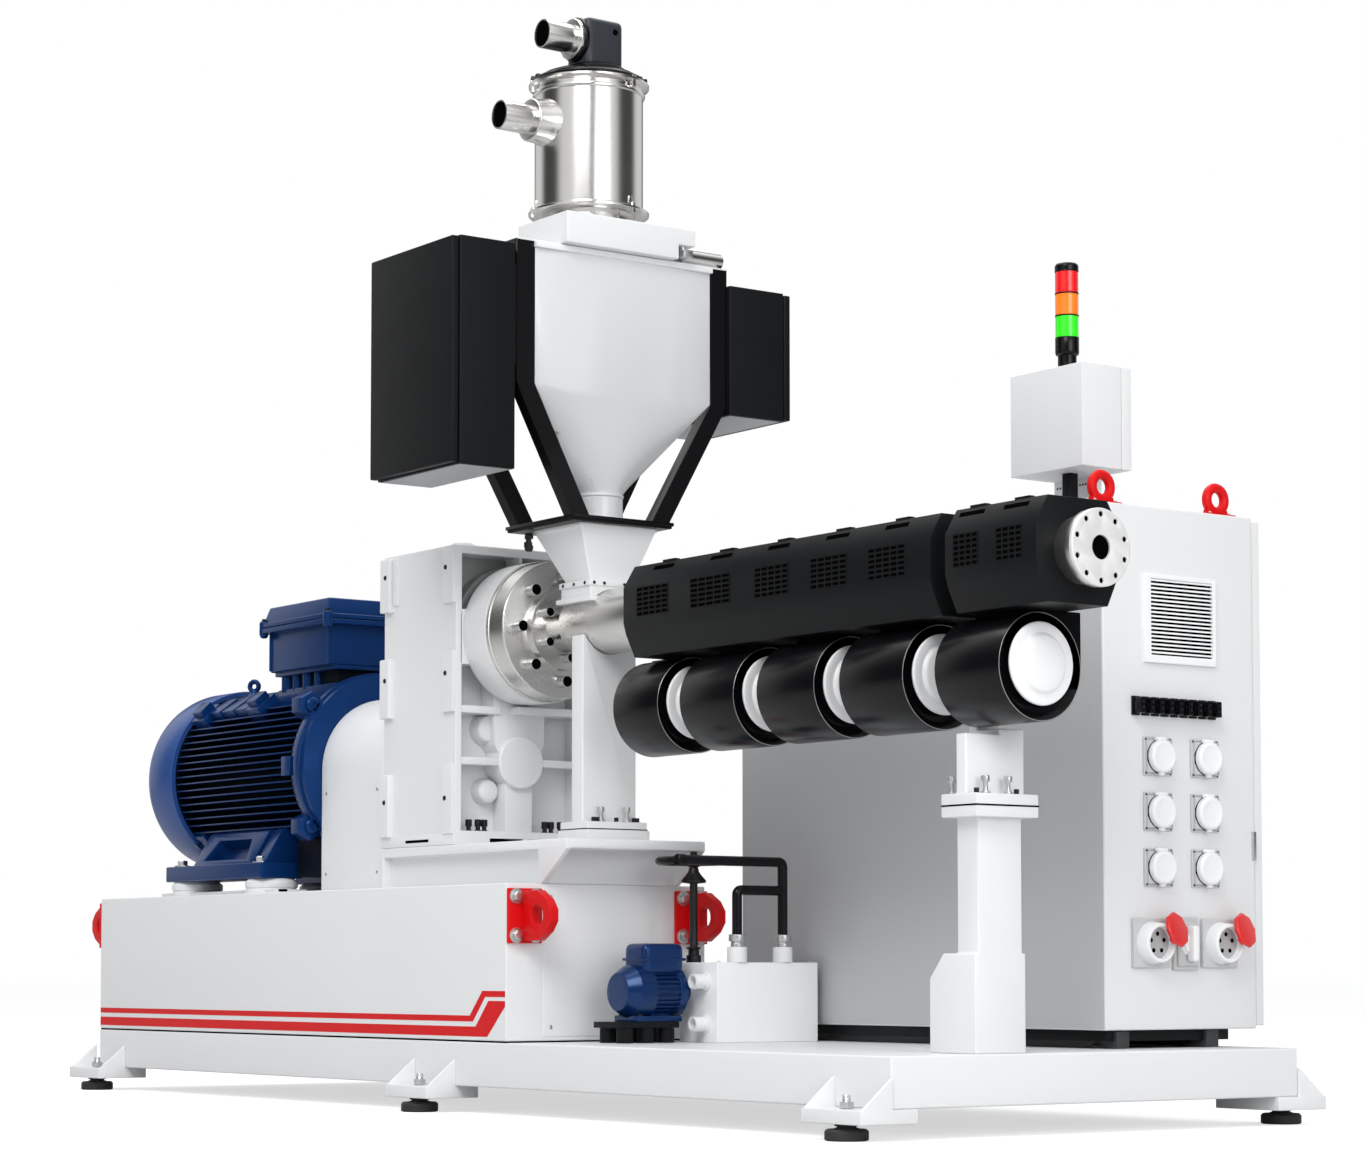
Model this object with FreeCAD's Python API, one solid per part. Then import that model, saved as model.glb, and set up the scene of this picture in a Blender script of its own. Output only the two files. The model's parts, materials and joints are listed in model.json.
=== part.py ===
import FreeCAD, Part
import math
import os

os.makedirs("parts", exist_ok=True)
V = FreeCAD.Vector

# ---- driving dimensions, mm.  X runs along the line, die end = 0 ----
AXIS_Y = 254.8          # barrel axis, across the line
AXIS_Z = 1000.0         # barrel axis height above the floor
FRAME_LEN = 3040.0      # base frame
FRAME_WID = 977.0
FRAME_Z0 = 54.0
DECK_Z = 144.0
PAD_R = 38.0            # floor pads
PAD_T = 20.0
PAD_OUT = 35.0
FOOT_Z = 29.0           # foot brackets
FOOT_HALF = 82.0
FOOT_OUT = 70.0
FOOT_IN = 55.0
FOOT_WEB = 8.0
FOOT_RISE = 54.0
PAD_X = (-77.0, -1473.0, -2979.0)
BOX_X1 = -1202.0        # motor base box, die-side end
BOX_WID = 490.0
BOX_Z = 462.0
TABLE_X0 = -1840.0      # gearbox table on the base box
TABLE_X1 = -1113.0
TABLE_HALF = 171.0
TABLE_Z = 551.0
TABLE_PLATE = 20.0
GEAR_X0 = -1835.0       # gearbox
GEAR_X1 = -1540.0
GEAR_HALF = 166.0
GEAR_Z = 1185.0
GEAR_RIM = 14.0         # wall round the open ribbed front
GEAR_LID = 20.0
GEAR_DEEP = 42.0
GEAR_SILL = 30.0
RIB_T = 16.0
RIBS = (1041.0, 838.0, 729.0)
SPINE_HALF = 34.0
DISC_PROUD = 16.0
GEAR_PAD_T = 14.0       # raised pads down both sides
GEAR_PAD_X = ((4.0, 32.0), (251.0, 291.0))
GEAR_PAD_Z = ((581.0, 740.0), (830.0, 960.0), (1050.0, 1165.0))
GEAR_SKIRT_T = 5.0
GEAR_SKIRT_Z = 26.0
HUB_R = 150.0           # thrust bearing housing
HUB_X1 = -1453.0
FLANGE_R = 145.0        # machined output flange
FLANGE_X1 = -1392.0
SPIGOT_R = 86.0
SPIGOT_T = 20.0
NECK_TUBE_R = 50.0      # barrel between the spigot and the feed section
NECK_X1 = -1304.0
SCREW_X0 = -1330.0
SCREW_TIP = 176.0
SCREW_END_R = 2.0
DISC_R = 56.0           # lower bearing cover
DISC_Z = 729.0
FEED_R = 65.0           # barrel at the feed throat
FEED_X1 = -1000.0
BARREL_R = 48.0
BORE_R = 22.5
DIE_BORE_R = 21.0
DIE_X = 252.0           # die flange face
DIE_R = 67.0
DIE_T = 24.0
COVER_W = 95.0          # octagonal heater covers, half width
COVER_H = 91.0
COVER_FLAT = 68.0
COVER_SIDE = 46.0
COVER_T = 5.0
COVERS = ((-1025.0, -82.0), (-42.0, 195.0))
BLOWER_R = 95.0         # cooling blowers
BLOWER_Z = 810.0
BLOWERS = ((-1061.0, -909.0), (-834.0, -661.0), (-587.0, -414.0), (-339.0, -160.0), (-72.0, 97.0))
CAP_R = 73.0
CAP_RISE = 5.0
MOTOR_Z = 747.0         # main motor
MOTOR_FOOT_Z = 497.0
MOTOR_FOOT_T = 36.0
COWL_R = 218.0
BODY_R = 205.0
COWL_X0 = -2904.0
COWL_X1 = -2746.0
SHIELD_X0 = -2170.0
MOTOR_X1 = -2110.0
TERM_X = (-2456.0, -2174.0)     # terminal box and its lid
TERM_HALF = 110.0
TERM_Z = (983.0, 1086.0)
LID_X = (-2482.0, -2162.0)
LID_HALF = 126.0
LID_TOP = 1136.0
GUARD_Z = 735.0
HOP_X = -1286.0         # hopper stand
HOP_HALF_X = 126.0
HOP_HALF_Y = 262.0
RING_HALF = 121.0
RING_Z0 = 1197.0
RING_Z1 = 1209.0
KNEE_Z = 1465.0
HOP_TOP = 1745.0
HOP_LIP = 10.0
POST = 44.0
LEG_SET = 10.0
HOP_DEPTH = 150.0
HOP_BULGE = 8.0
BOX_RAIL = 13.0
NECK_X = -1250.0
NECK_R = 46.0
NECK_Z = 1263.0
BLOCK_X0 = -1314.0
BLOCK_X1 = -1130.0
BLOCK_HALF = 160.0
BLOCK_H = 75.0
BLOCK_Z = HOP_TOP + BLOCK_H
BLOCK_STUB_R = 16.0
BLOCK_STUB_X = -1190.0
BLOCK_STUB_L = 104.0
BLOCK_STUB_DROP = 43.0
TALL_X = (-1462.0, -1144.0)     # electrical boxes on the hopper stand
TALL_Y0 = -168.0
TALL_Z = (1284.0, 1740.0)
RAIL_W = 30.0
RAIL_Z = (1500.0, 1700.0)
SHORT_X = (-1462.0, -1149.0)
SHORT_Y1 = 677.0
SHORT_Z = (1447.0, 1721.0)
LOADER_X = -1290.0
HEAD_X = -1268.0
LOADER_R = 113.0
LOADER_FLANGE_R = 126.0
LOADER_FOOT_R = 100.0
LOADER_FOOT_H = 35.0
LOADER_Z0 = BLOCK_Z + LOADER_FOOT_H
LOADER_H = 280.0
LOADER_Z1 = LOADER_Z0 + LOADER_H
LOADER_FLANGE_T = 12.0
INLET_Z = LOADER_Z1 - 95.0
INLET_REACH = 222.0
INLET_COLLAR = 150.0
LID_R = 108.0
LID_BALL = 260.0
LID_RISE = 40.0
HEAD_HALF = (40.0, 46.0)
HEAD_SEAT = 30.0
HEAD_H = 127.0
HEAD_INLET_Z = LOADER_Z1 + 84.0
HEAD_REACH = 132.0
HEAD_COLLAR = 66.0
TUBE_R = 30.0
COLLAR_R = 44.0
CAB_X0 = -1246.0        # control cabinet
CAB_X1 = -134.0
CAB_Y0 = 619.0
CAB_Y1 = 1009.0
CAB_Z0 = 178.0
CAB_Z1 = 1155.0
CAB_T = 12.0
DOOR_T = 21.0
EYE_IN = 34.0           # lifting eyes on the cabinet roof
EYE_FRONT = 30.0
EYE_BACK = 62.0
EYE_T = 12.0
EYE_HALF = 34.0
EYE_R = 30.0
EYE_RISE = 30.0
EYE_HOLE_R = 13.0
EYE_HOLE_Z = 32.0
GRILLE_Y = (720.0, 906.0)       # fittings on the cabinet's die-side face
GRILLE_Z = (861.0, 1028.0)
GRILLE_T = 6.0
PLUG_COUNT = 9
PLUG_Y = 688.0
PLUG_PITCH = 24.6
PLUG_W = 20.0
PLUG_Z = (761.0, 797.0)
PLUG_T = 18.0
ROUND_Y = (752.0, 874.0)
ROUND_Z = (686.0, 583.0, 479.0)
ROUND_HALF = 35.0
ROUND_T = 10.0
ROUND_R = 31.0
ROUND_OUT = 24.0
PIN_SOCKET_Y = (729.0, 906.0)
PIN_SOCKET_Z = 339.0
PIN_SOCKET_HALF = 46.0
PIN_SOCKET_T = 12.0
PIN_SOCKET_R = 36.0
PIN_SOCKET_OUT = 40.0
SWITCH_Y = 818.0
SWITCH_HALF = 32.0
SWITCH_Z = (288.0, 388.0)
SWITCH_T = 14.0
KNOB_HALF = 12.0
KNOB_Z = (305.0, 370.0)
PEN_X = (-432.0, -229.0)        # operator's control head
PEN_Y = (660.0, 787.0)
PEN_Z0 = 1238.0
PEN_Z1 = 1435.0
MAST_X = -324.0
MAST_Y = 715.0
MAST_HALF = 11.0
MAST_FOOT = 40.0
MAST_FOOT_T = 8.0
TOWER_X = -340.0        # signal tower
TOWER_Y = 725.0
TOWER_NECK_R = 17.0
TOWER_NECK = 24.0
TOWER_R = 23.0
TOWER_TOP = 214.0
CLEAR = 5.0             # clearance round moving pieces
SEAT = 0.3              # gap where curved faces rest on each other
PIN_GAP = 0.05          # radial clearance of a turning pin
TANK_X0 = -1090.0       # water tank
TANK_X1 = -960.0
TANK_Y0 = 344.0
TANK_Y1 = 598.0
TANK_Z = 304.0
WHEEL_R = 77.0          # valve handwheel
WHEEL_X = -1067.0
WHEEL_Y = 363.0
WHEEL_Z = 509.0
HUB_H = 24.0
PIPE_X = -975.0
PIPE_YA = 404.0
PIPE_YB = 519.0
PIPE_R = 9.0
PIPE_BEND = 24.0
PIPE_LOW = 449.0
PIPE_TOP = 507.0
PIPE_END = 250.0
PIPE_NUT_R = 14.0
PIPE_NUT_Z = 334.0
PIPE_NUT_L = 26.0
STUB_X = -1002.0
STUB_Z = (266.0, 181.0)
STUB_R = 15.0
STUB_L = 32.0
RIM_R = 7.0             # handwheel rim, hub and spokes
HUB_WHEEL_R = 13.0
SPOKE_W = 10.0
SPOKE_T = 8.0
STEM_R = 8.0
STEM_BASE_R = 15.0
STEM_BASE_H = 30.0
BONNET_R = (17.0, 9.0)
BONNET_H = 24.0
BONNET_DROP = 52.0
NUT_H = 8.0
PUMP_X = -1070.0        # circulation pump
PUMP_Y0 = 178.0
PUMP_Z = 245.0
PUMP_R = 52.0
PUMP_L = 140.0
PUMP_SHAFT_R = 20.0
PUMP_BOX = (34.0, 44.0, 134.0, 30.0, 96.0)
PUMP_FOOT = (40.0, 20.0, 130.0, 186.0)
PUMP_PLATE_Z = 174.0
PUMP_PLATE_T = 12.0
PUMP_PLATE = (-52.0, 44.0, -22.0, 120.0)
MOUNT_R = 17.0
MOUNT_X = (-32.0, 26.0)
MOUNT_PITCH = 50.0


def box(x0, x1, y0, y1, z0, z1):
    return Part.makeBox(x1 - x0, y1 - y0, z1 - z0, V(x0, y0, z0))


def mid(x0, x1, half, z0, z1, yc=AXIS_Y):
    return box(x0, x1, yc - half, yc + half, z0, z1)


def cyl_x(x0, x1, r, y=AXIS_Y, z=AXIS_Z):
    return Part.makeCylinder(r, x1 - x0, V(x0, y, z), V(1, 0, 0))


def cyl_y(y0, y1, r, x, z):
    return Part.makeCylinder(r, y1 - y0, V(x, y0, z), V(0, 1, 0))


def cyl_z(z0, z1, r, x, y=AXIS_Y):
    return Part.makeCylinder(r, z1 - z0, V(x, y, z0), V(0, 0, 1))


def cone_x(x0, x1, r0, r1, y=AXIS_Y, z=AXIS_Z):
    return Part.makeCone(r0, r1, x1 - x0, V(x0, y, z), V(1, 0, 0))


def prism(points, push):
    wire = Part.makePolygon([V(*p) for p in points] + [V(*points[0])])
    return Part.Face(wire).extrude(V(*push))


def rect_z(x0, x1, y0, y1, z):
    pts = [V(x0, y0, z), V(x1, y0, z), V(x1, y1, z), V(x0, y1, z), V(x0, y0, z)]
    return Part.makePolygon(pts)


def frustum(lower, upper):
    return Part.makeLoft([rect_z(*lower), rect_z(*upper)], True, True)


def fuse(shapes):
    out = shapes[0]
    for s in shapes[1:]:
        out = out.fuse(s)
    return out.removeSplitter()


def both_sides(shape):
    return [shape, shape.mirror(V(0, AXIS_Y, 0), V(0, 1, 0))]


# ---- base ----
def base_frame():
    return [box(-FRAME_LEN, 0, 0, FRAME_WID, FRAME_Z0, DECK_Z)]


def foot_sites():
    return [(x, side, y) for x in PAD_X for side, y in ((-1, 0.0), (1, FRAME_WID))]


def foot_brackets():
    out = []
    for x, side, y in foot_sites():
        tip, root = y + side * FOOT_OUT, y - side * FOOT_IN
        shapes = [box(x - FOOT_HALF, x + FOOT_HALF, min(tip, root), max(tip, root), FOOT_Z, FRAME_Z0)]
        for x0 in (x - FOOT_HALF, x + FOOT_HALF - FOOT_WEB):
            pts = [(x0, y, FRAME_Z0), (x0, tip - side * 4, FRAME_Z0), (x0, y, FRAME_Z0 + FOOT_RISE)]
            shapes.append(prism(pts, (FOOT_WEB, 0, 0)))
        out.append(fuse(shapes))
    return out


def foot_pads():
    out = []
    for x, side, y in foot_sites():
        yc = y + side * PAD_OUT
        out.append(fuse([cyl_z(0, PAD_T, PAD_R, x, yc), cyl_z(PAD_T, FOOT_Z, 20, x, yc)]))
    return out


def motor_base_box():
    return [box(-FRAME_LEN, BOX_X1, 0, BOX_WID, DECK_Z, BOX_Z)]


LUG_T = 20.0
LUG_H = 110.0
LUG_REACH = 115.0
LUG_EYE_R = 21.0


def lug(face, sign, yc):
    zc = BOX_Z - 10.0 - LUG_H / 2.0
    r = LUG_H / 2.0 - 5.0
    x_eye = face + sign * (LUG_REACH - r)
    base = box(min(face, face + sign * 10), max(face, face + sign * 10), yc - 40, yc + 40,
               zc - LUG_H / 2, zc + LUG_H / 2)
    x0 = min(face, x_eye)
    web = box(x0, x0 + abs(x_eye - face), yc - LUG_T / 2, yc + LUG_T / 2, zc - r, zc + r)
    disc = cyl_y(yc - LUG_T / 2, yc + LUG_T / 2, r, x_eye, zc)
    body = fuse([base, web, disc])
    keep = box(min(face, face + sign * 300), max(face, face + sign * 300), -500, 2000, 0, 3000)
    eye = cyl_y(yc - 60, yc + 60, LUG_EYE_R, x_eye, zc)
    return body.common(keep).cut(eye)


def lifting_lugs():
    out = []
    for yc in (40.0, BOX_WID - 40.0):
        out.append(lug(BOX_X1, 1, yc))
        out.append(lug(-FRAME_LEN, -1, yc))
    return out


def gearbox_table():
    z_web = TABLE_Z - TABLE_PLATE
    parts = [mid(TABLE_X0, TABLE_X1, TABLE_HALF, z_web, TABLE_Z)]
    parts.append(mid(TABLE_X0, BOX_X1, TABLE_HALF - 22, BOX_Z, z_web))
    for x in (TABLE_X0, BOX_X1 - 14):
        parts.append(mid(x, x + 14, TABLE_HALF, BOX_Z, z_web))
    pts = [(BOX_X1, AXIS_Y - TABLE_HALF, BOX_Z), (TABLE_X1, AXIS_Y - TABLE_HALF, z_web)]
    pts += [(BOX_X1, AXIS_Y - TABLE_HALF, z_web)]
    parts += both_sides(prism(pts, (0, 14, 0)))
    return [fuse(parts)]


# ---- gearbox ----
def gearbox_housing():
    back, front, side = GEAR_X0, GEAR_X1, AXIS_Y - GEAR_HALF
    inner, floor = front - GEAR_DEEP, TABLE_Z + GEAR_SILL
    body = mid(back, front, GEAR_HALF, TABLE_Z, GEAR_Z)
    body = body.cut(mid(inner, front, GEAR_HALF - GEAR_RIM, floor, GEAR_Z - GEAR_LID))
    parts = [body]
    for z in RIBS:
        parts.append(mid(inner, front, GEAR_HALF - GEAR_RIM, z - RIB_T / 2, z + RIB_T / 2))
    parts.append(mid(inner, front, SPINE_HALF, floor, DISC_Z))
    parts.append(cyl_x(inner, front + DISC_PROUD, DISC_R, AXIS_Y, DISC_Z))
    parts.append(cyl_x(inner, HUB_X1, HUB_R))
    for x0, x1 in GEAR_PAD_X:
        for z0, z1 in GEAR_PAD_Z:
            parts += both_sides(box(back + x0, back + x1, side - GEAR_PAD_T, side, z0, z1))
    parts += both_sides(box(back, front, side - GEAR_SKIRT_T, side, TABLE_Z, TABLE_Z + GEAR_SKIRT_Z))
    return [fuse(parts)]


def output_flange():
    disc = cyl_x(HUB_X1, FLANGE_X1, FLANGE_R)
    spigot = cyl_x(FLANGE_X1, FLANGE_X1 + SPIGOT_T, SPIGOT_R)
    return [fuse([disc, spigot])]


# ---- barrel ----
def barrel():
    parts = [cyl_x(FLANGE_X1 + SPIGOT_T, NECK_X1, NECK_TUBE_R)]
    parts.append(cyl_x(NECK_X1, FEED_X1, FEED_R))
    parts.append(cyl_x(FEED_X1, DIE_X - DIE_T, BARREL_R))
    return [fuse(parts).cut(cyl_x(SCREW_X0, DIE_X, BORE_R))]


def screw():
    shaft = cyl_x(SCREW_X0, SCREW_TIP, BORE_R)
    tip = cone_x(SCREW_TIP, DIE_X - DIE_T - SCREW_END_R, BORE_R, SCREW_END_R)
    return [fuse([shaft, tip])]


def die_flange():
    x0 = DIE_X - DIE_T
    disc = cyl_x(x0, DIE_X, DIE_R)
    neck = cone_x(COVERS[1][1], x0, BARREL_R + 10, DIE_R - 6)
    body = fuse([disc, neck]).cut(cyl_x(0, x0, BARREL_R)).cut(cyl_x(0, DIE_X, DIE_BORE_R))
    for i in range(10):
        a = math.radians(90 + 36 * i)
        y, z = AXIS_Y + 56.5 * math.cos(a), AXIS_Z + 56.5 * math.sin(a)
        body = body.cut(cyl_x(x0 + 4, DIE_X, 4.2, y, z))
    return [body]


def octagon(x, grow):
    w, h = COVER_W + grow, COVER_H + grow
    f, s = COVER_FLAT + grow * 0.41, COVER_SIDE + grow * 0.41
    yz = [(-w, -s), (-f, -h), (f, -h), (w, -s), (w, s), (f, h), (-f, h), (-w, s)]
    return [(x, AXIS_Y + y, AXIS_Z + z) for y, z in yz]


def cover(x0, x1, r0, r1):
    shell = prism(octagon(x0, 0), (x1 - x0, 0, 0))
    shell = shell.cut(prism(octagon(x0 + COVER_T, -COVER_T), (x1 - x0 - 2 * COVER_T, 0, 0)))
    shell = shell.cut(cyl_x(x0, x0 + COVER_T, r0))
    return [shell.cut(cyl_x(x1 - COVER_T, x1, r1))]


def barrel_cover_main():
    return cover(COVERS[0][0], COVERS[0][1], FEED_R, BARREL_R)


def barrel_cover_die():
    return cover(COVERS[1][0], COVERS[1][1], BARREL_R, BARREL_R)


def blowers():
    out = []
    for x0, x1 in BLOWERS:
        drum = cyl_x(x0, x1, BLOWER_R, AXIS_Y, BLOWER_Z)
        duct = box(x0, x1, AXIS_Y, AXIS_Y + BLOWER_R, BLOWER_Z, AXIS_Z - COVER_H)
        out.append(fuse([drum, duct]))
    return out


def blower_caps():
    out = []
    for x0, x1 in BLOWERS:
        cap = cyl_x(x1, x1 + 6, CAP_R, AXIS_Y, BLOWER_Z + CAP_RISE)
        boss = cyl_x(x1 + 6, x1 + 14, CAP_R - 18, AXIS_Y, BLOWER_Z + CAP_RISE)
        out.append(fuse([cap, boss]))
    return out


# ---- posts ----
def feed_post():
    leg = mid(-1252, -1211, 66, TABLE_Z + 39, AXIS_Z - 28)
    leg = leg.cut(cyl_x(-1300, -1150, FEED_R + SEAT))
    low = mid(-1285, -1178, 78, TABLE_Z, TABLE_Z + 22)
    top = mid(-1281, -1182, 74, TABLE_Z + 22, TABLE_Z + 39)
    return [fuse([leg, low, top])]


def die_post():
    pts = [(-133, 0, DECK_Z), (-10, 0, DECK_Z), (-10, 0, 318), (-96, 0, 318), (-133, 0, 274)]
    pts = [(x, AXIS_Y - 58, z) for x, y, z in pts]
    parts = [prism(pts, (0, 116, 0))]
    parts.append(mid(-66, -10, 50, 318, 554))
    parts.append(mid(-83, 11, 72, 554, 595))
    parts.append(mid(-48, -21, 67, 595, 700))
    parts.append(mid(-104, -21, 28, 690, 711, AXIS_Y + 39))
    parts.append(mid(-104, -84, 28, 711, AXIS_Z - COVER_H, AXIS_Y + 39))
    return [fuse(parts)]


# ---- main motor ----
def motor_body():
    parts = [cyl_x(COWL_X1, SHIELD_X0, BODY_R, AXIS_Y, MOTOR_Z)]
    parts.append(cyl_x(SHIELD_X0, MOTOR_X1, COWL_R, AXIS_Y, MOTOR_Z))
    parts.append(mid(-2400, -2204, 84, MOTOR_Z + 180, 983))
    return [fuse(parts)]


def motor_fan_cowl():
    x0, x1 = COWL_X0, COWL_X1
    rim = cyl_x(x0 + 30, x1, COWL_R, AXIS_Y, MOTOR_Z)
    return [fuse([cone_x(x0, x0 + 30, COWL_R - 34, COWL_R, AXIS_Y, MOTOR_Z), rim])]


def motor_foot(side):
    top = MOTOR_FOOT_Z + MOTOR_FOOT_T
    out = AXIS_Y + side * 230
    base, inner = AXIS_Y + side * 215, AXIS_Y + side * 120
    shapes = [box(-2743, -2272, min(out, inner), max(out, inner), MOTOR_FOOT_Z, top)]
    for x0, x1 in ((-2640.0, -2350.0), (-2330.0, -2290.0)):
        pts = [(x0, base, top), (x0, inner, top), (x0, inner, top + 74), (x0, base - side * 50, top + 74)]
        shapes.append(prism(pts, (x1 - x0, 0, 0)))
    return fuse(shapes).cut(cyl_x(COWL_X1 - 50, SHIELD_X0, BODY_R + SEAT, AXIS_Y, MOTOR_Z))


def motor_feet():
    return [motor_foot(-1), motor_foot(1)]


def motor_pads():
    out = []
    for x in (-2692.0, -2326.0):
        for side in (-1, 1):
            out.append(cyl_z(BOX_Z, MOTOR_FOOT_Z, 52, x, AXIS_Y + side * 172))
    return out


def terminal_box():
    box_body = mid(*TERM_X, TERM_HALF, *TERM_Z)
    return [fuse([box_body, mid(*LID_X, LID_HALF, TERM_Z[1], LID_TOP)])]


def coupling_guard():
    x0, x1 = MOTOR_X1, GEAR_X0
    low = mid(x0, x1, GEAR_HALF, BOX_Z, GUARD_Z).cut(box(TABLE_X0, 0, -500, 1500, 0, TABLE_Z))
    top = cyl_x(x0, x1, GEAR_HALF, AXIS_Y, GUARD_Z)
    return [fuse([low, top])]


# ---- feed hopper ----
def feed_funnel():
    body = frustum((-1294, -1206, AXIS_Y - 50, AXIS_Y + 50, 1080),
                   (-1354, -1176, AXIS_Y - 95, AXIS_Y + 95, RING_Z0))
    foot = mid(-1304, -1196, 58, 1045, 1080)
    return [fuse([body, foot]).cut(cyl_x(-1400, -1100, FEED_R + SEAT))]


def sloped_leg(sx, sy):
    x1 = HOP_X + sx * HOP_HALF_X
    x0 = x1 - sx * 30
    y1 = AXIS_Y + sy * HOP_HALF_Y
    y0 = y1 - sy * POST
    yb1 = AXIS_Y + sy * RING_HALF
    yb0 = yb1 - sy * POST
    xa, xb = min(x0, x1), max(x0, x1)
    top = (xa, xb, min(y0, y1), max(y0, y1), KNEE_Z)
    low = (xa - sx * LEG_SET, xb - sx * LEG_SET, min(yb0, yb1), max(yb0, yb1), RING_Z1)
    upright = box(xa, xb, min(y0, y1), max(y0, y1), KNEE_Z, HOP_TOP)
    return fuse([frustum(low, top), upright])


def hopper_frame():
    parts = []
    for sx in (-1, 1):
        for sy in (-1, 1):
            parts.append(sloped_leg(sx, sy))
    xa, xb = HOP_X - HOP_HALF_X, HOP_X + HOP_HALF_X
    parts.append(mid(xa, xb, HOP_HALF_Y, HOP_TOP, HOP_TOP + HOP_LIP))
    parts.append(mid(xa, xb, RING_HALF, RING_Z0, RING_Z1))
    return [fuse(parts)]


def hopper_plan(z):
    half = HOP_HALF_Y - POST
    xf = HOP_X + HOP_HALF_X
    a, b = V(xf, AXIS_Y - half, z), V(xf, AXIS_Y + half, z)
    front = Part.Arc(a, V(xf + HOP_BULGE, AXIS_Y, z), b).toShape()
    back = Part.Arc(b, V(xf - HOP_DEPTH, AXIS_Y, z), a).toShape()
    return Part.Wire([front, back])


def neck_plan(z):
    a, b = V(NECK_X, AXIS_Y - NECK_R, z), V(NECK_X, AXIS_Y + NECK_R, z)
    front = Part.Arc(a, V(NECK_X + NECK_R, AXIS_Y, z), b).toShape()
    back = Part.Arc(b, V(NECK_X - NECK_R, AXIS_Y, z), a).toShape()
    return Part.Wire([front, back])


def hopper_body():
    top = Part.Face(hopper_plan(KNEE_Z)).extrude(V(0, 0, HOP_TOP - KNEE_Z))
    low = Part.makeLoft([neck_plan(NECK_Z), hopper_plan(KNEE_Z)], True, True)
    neck = Part.Face(neck_plan(RING_Z1)).extrude(V(0, 0, NECK_Z - RING_Z1))
    return [fuse([top, low, neck])]


def side_box_tall():
    y1 = AXIS_Y - HOP_HALF_Y
    parts = [box(*TALL_X, TALL_Y0, y1 - BOX_RAIL, *TALL_Z)]
    for x in (HOP_X - HOP_HALF_X, HOP_X + HOP_HALF_X - RAIL_W):
        parts.append(box(x, x + RAIL_W, y1 - BOX_RAIL, y1, *RAIL_Z))
    return [fuse(parts)]


def side_box_short():
    return [box(*SHORT_X, AXIS_Y + HOP_HALF_Y, SHORT_Y1, *SHORT_Z)]


def junction_block():
    body = mid(BLOCK_X0, BLOCK_X1, BLOCK_HALF, HOP_TOP + HOP_LIP, BLOCK_Z)
    y = AXIS_Y + BLOCK_HALF
    stub = cyl_y(y, y + BLOCK_STUB_L, BLOCK_STUB_R, BLOCK_STUB_X, BLOCK_Z - BLOCK_STUB_DROP)
    return [fuse([body, stub])]


def loader_foot():
    z0 = HOP_TOP + HOP_LIP
    body = cyl_z(z0, LOADER_Z0, LOADER_FOOT_R, LOADER_X)
    return [body.cut(mid(BLOCK_X0, BLOCK_X1, BLOCK_HALF, z0, BLOCK_Z))]


def loader_body():
    parts = [cyl_z(LOADER_Z0, LOADER_Z1, LOADER_R, LOADER_X)]
    parts.append(cyl_z(LOADER_Z0, LOADER_Z0 + LOADER_FLANGE_T, LOADER_FLANGE_R, LOADER_X))
    parts.append(cyl_z(LOADER_Z1 - LOADER_FLANGE_T, LOADER_Z1, LOADER_FLANGE_R, LOADER_X))
    parts.append(cyl_y(AXIS_Y - INLET_REACH, AXIS_Y, TUBE_R, LOADER_X, INLET_Z))
    parts.append(cyl_y(AXIS_Y - INLET_COLLAR, AXIS_Y, COLLAR_R, LOADER_X, INLET_Z))
    return [fuse(parts)]


def lid_ball(radius):
    return Part.makeSphere(radius, V(LOADER_X, AXIS_Y, LOADER_Z1 + LID_RISE - LID_BALL))


def loader_lid():
    return [lid_ball(LID_BALL).common(cyl_z(LOADER_Z1, LOADER_Z1 + LID_RISE, LID_R, LOADER_X))]


def loader_elbow():
    half_x, half_y = HEAD_HALF
    body = mid(HEAD_X - half_x, HEAD_X + half_x, half_y, LOADER_Z1 + HEAD_SEAT, LOADER_Z1 + HEAD_H)
    body = body.cut(lid_ball(LID_BALL + SEAT))
    tube = cyl_y(AXIS_Y - HEAD_REACH, AXIS_Y - half_y, TUBE_R, HEAD_X, HEAD_INLET_Z)
    disc = cyl_y(AXIS_Y - HEAD_COLLAR, AXIS_Y - half_y, COLLAR_R, HEAD_X, HEAD_INLET_Z)
    return [fuse([body, tube, disc])]


# ---- cabinet ----
def cabinet_body():
    t = CAB_T
    shell = box(CAB_X0, CAB_X1, CAB_Y0, CAB_Y1, CAB_Z0, CAB_Z1)
    room = box(CAB_X0 + t, CAB_X1 - t, CAB_Y0 + t, CAB_Y1, CAB_Z0 + t, CAB_Z1 - t)
    return [shell.cut(room)]


HINGE_X = CAB_X0 - 10.0
HINGE_Y = CAB_Y1 + 13.0
HINGE_R = 9.0
PIN_R = 5.0
KNUCKLE = 34.0
HINGE_ZS = (CAB_Z0 + 120.0, (CAB_Z0 + CAB_Z1) / 2, CAB_Z1 - 180.0)


def cabinet_door():
    y0 = CAB_Y1 + CLEAR
    x0, x1, z0, z1 = CAB_X0 + 6, CAB_X1 - 6, CAB_Z0 + 6, CAB_Z1 - 6
    leaf = box(x0, x1, y0, y0 + DOOR_T, z0, z1)
    parts = [leaf, box(CAB_X1 - 60, CAB_X1 - 32, y0 + DOOR_T, y0 + DOOR_T + 10, 560, 700)]
    for z in HINGE_ZS:
        zk = z + KNUCKLE + 1
        parts.append(cyl_z(zk, zk + KNUCKLE, HINGE_R, HINGE_X, HINGE_Y))
        parts.append(box(HINGE_X, x0 + 2, HINGE_Y - 4, HINGE_Y + 4, zk, zk + KNUCKLE))
    bore = PIN_R + PIN_GAP
    return [fuse(parts).cut(cyl_z(CAB_Z0, CAB_Z1, bore, HINGE_X, HINGE_Y))]


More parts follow.
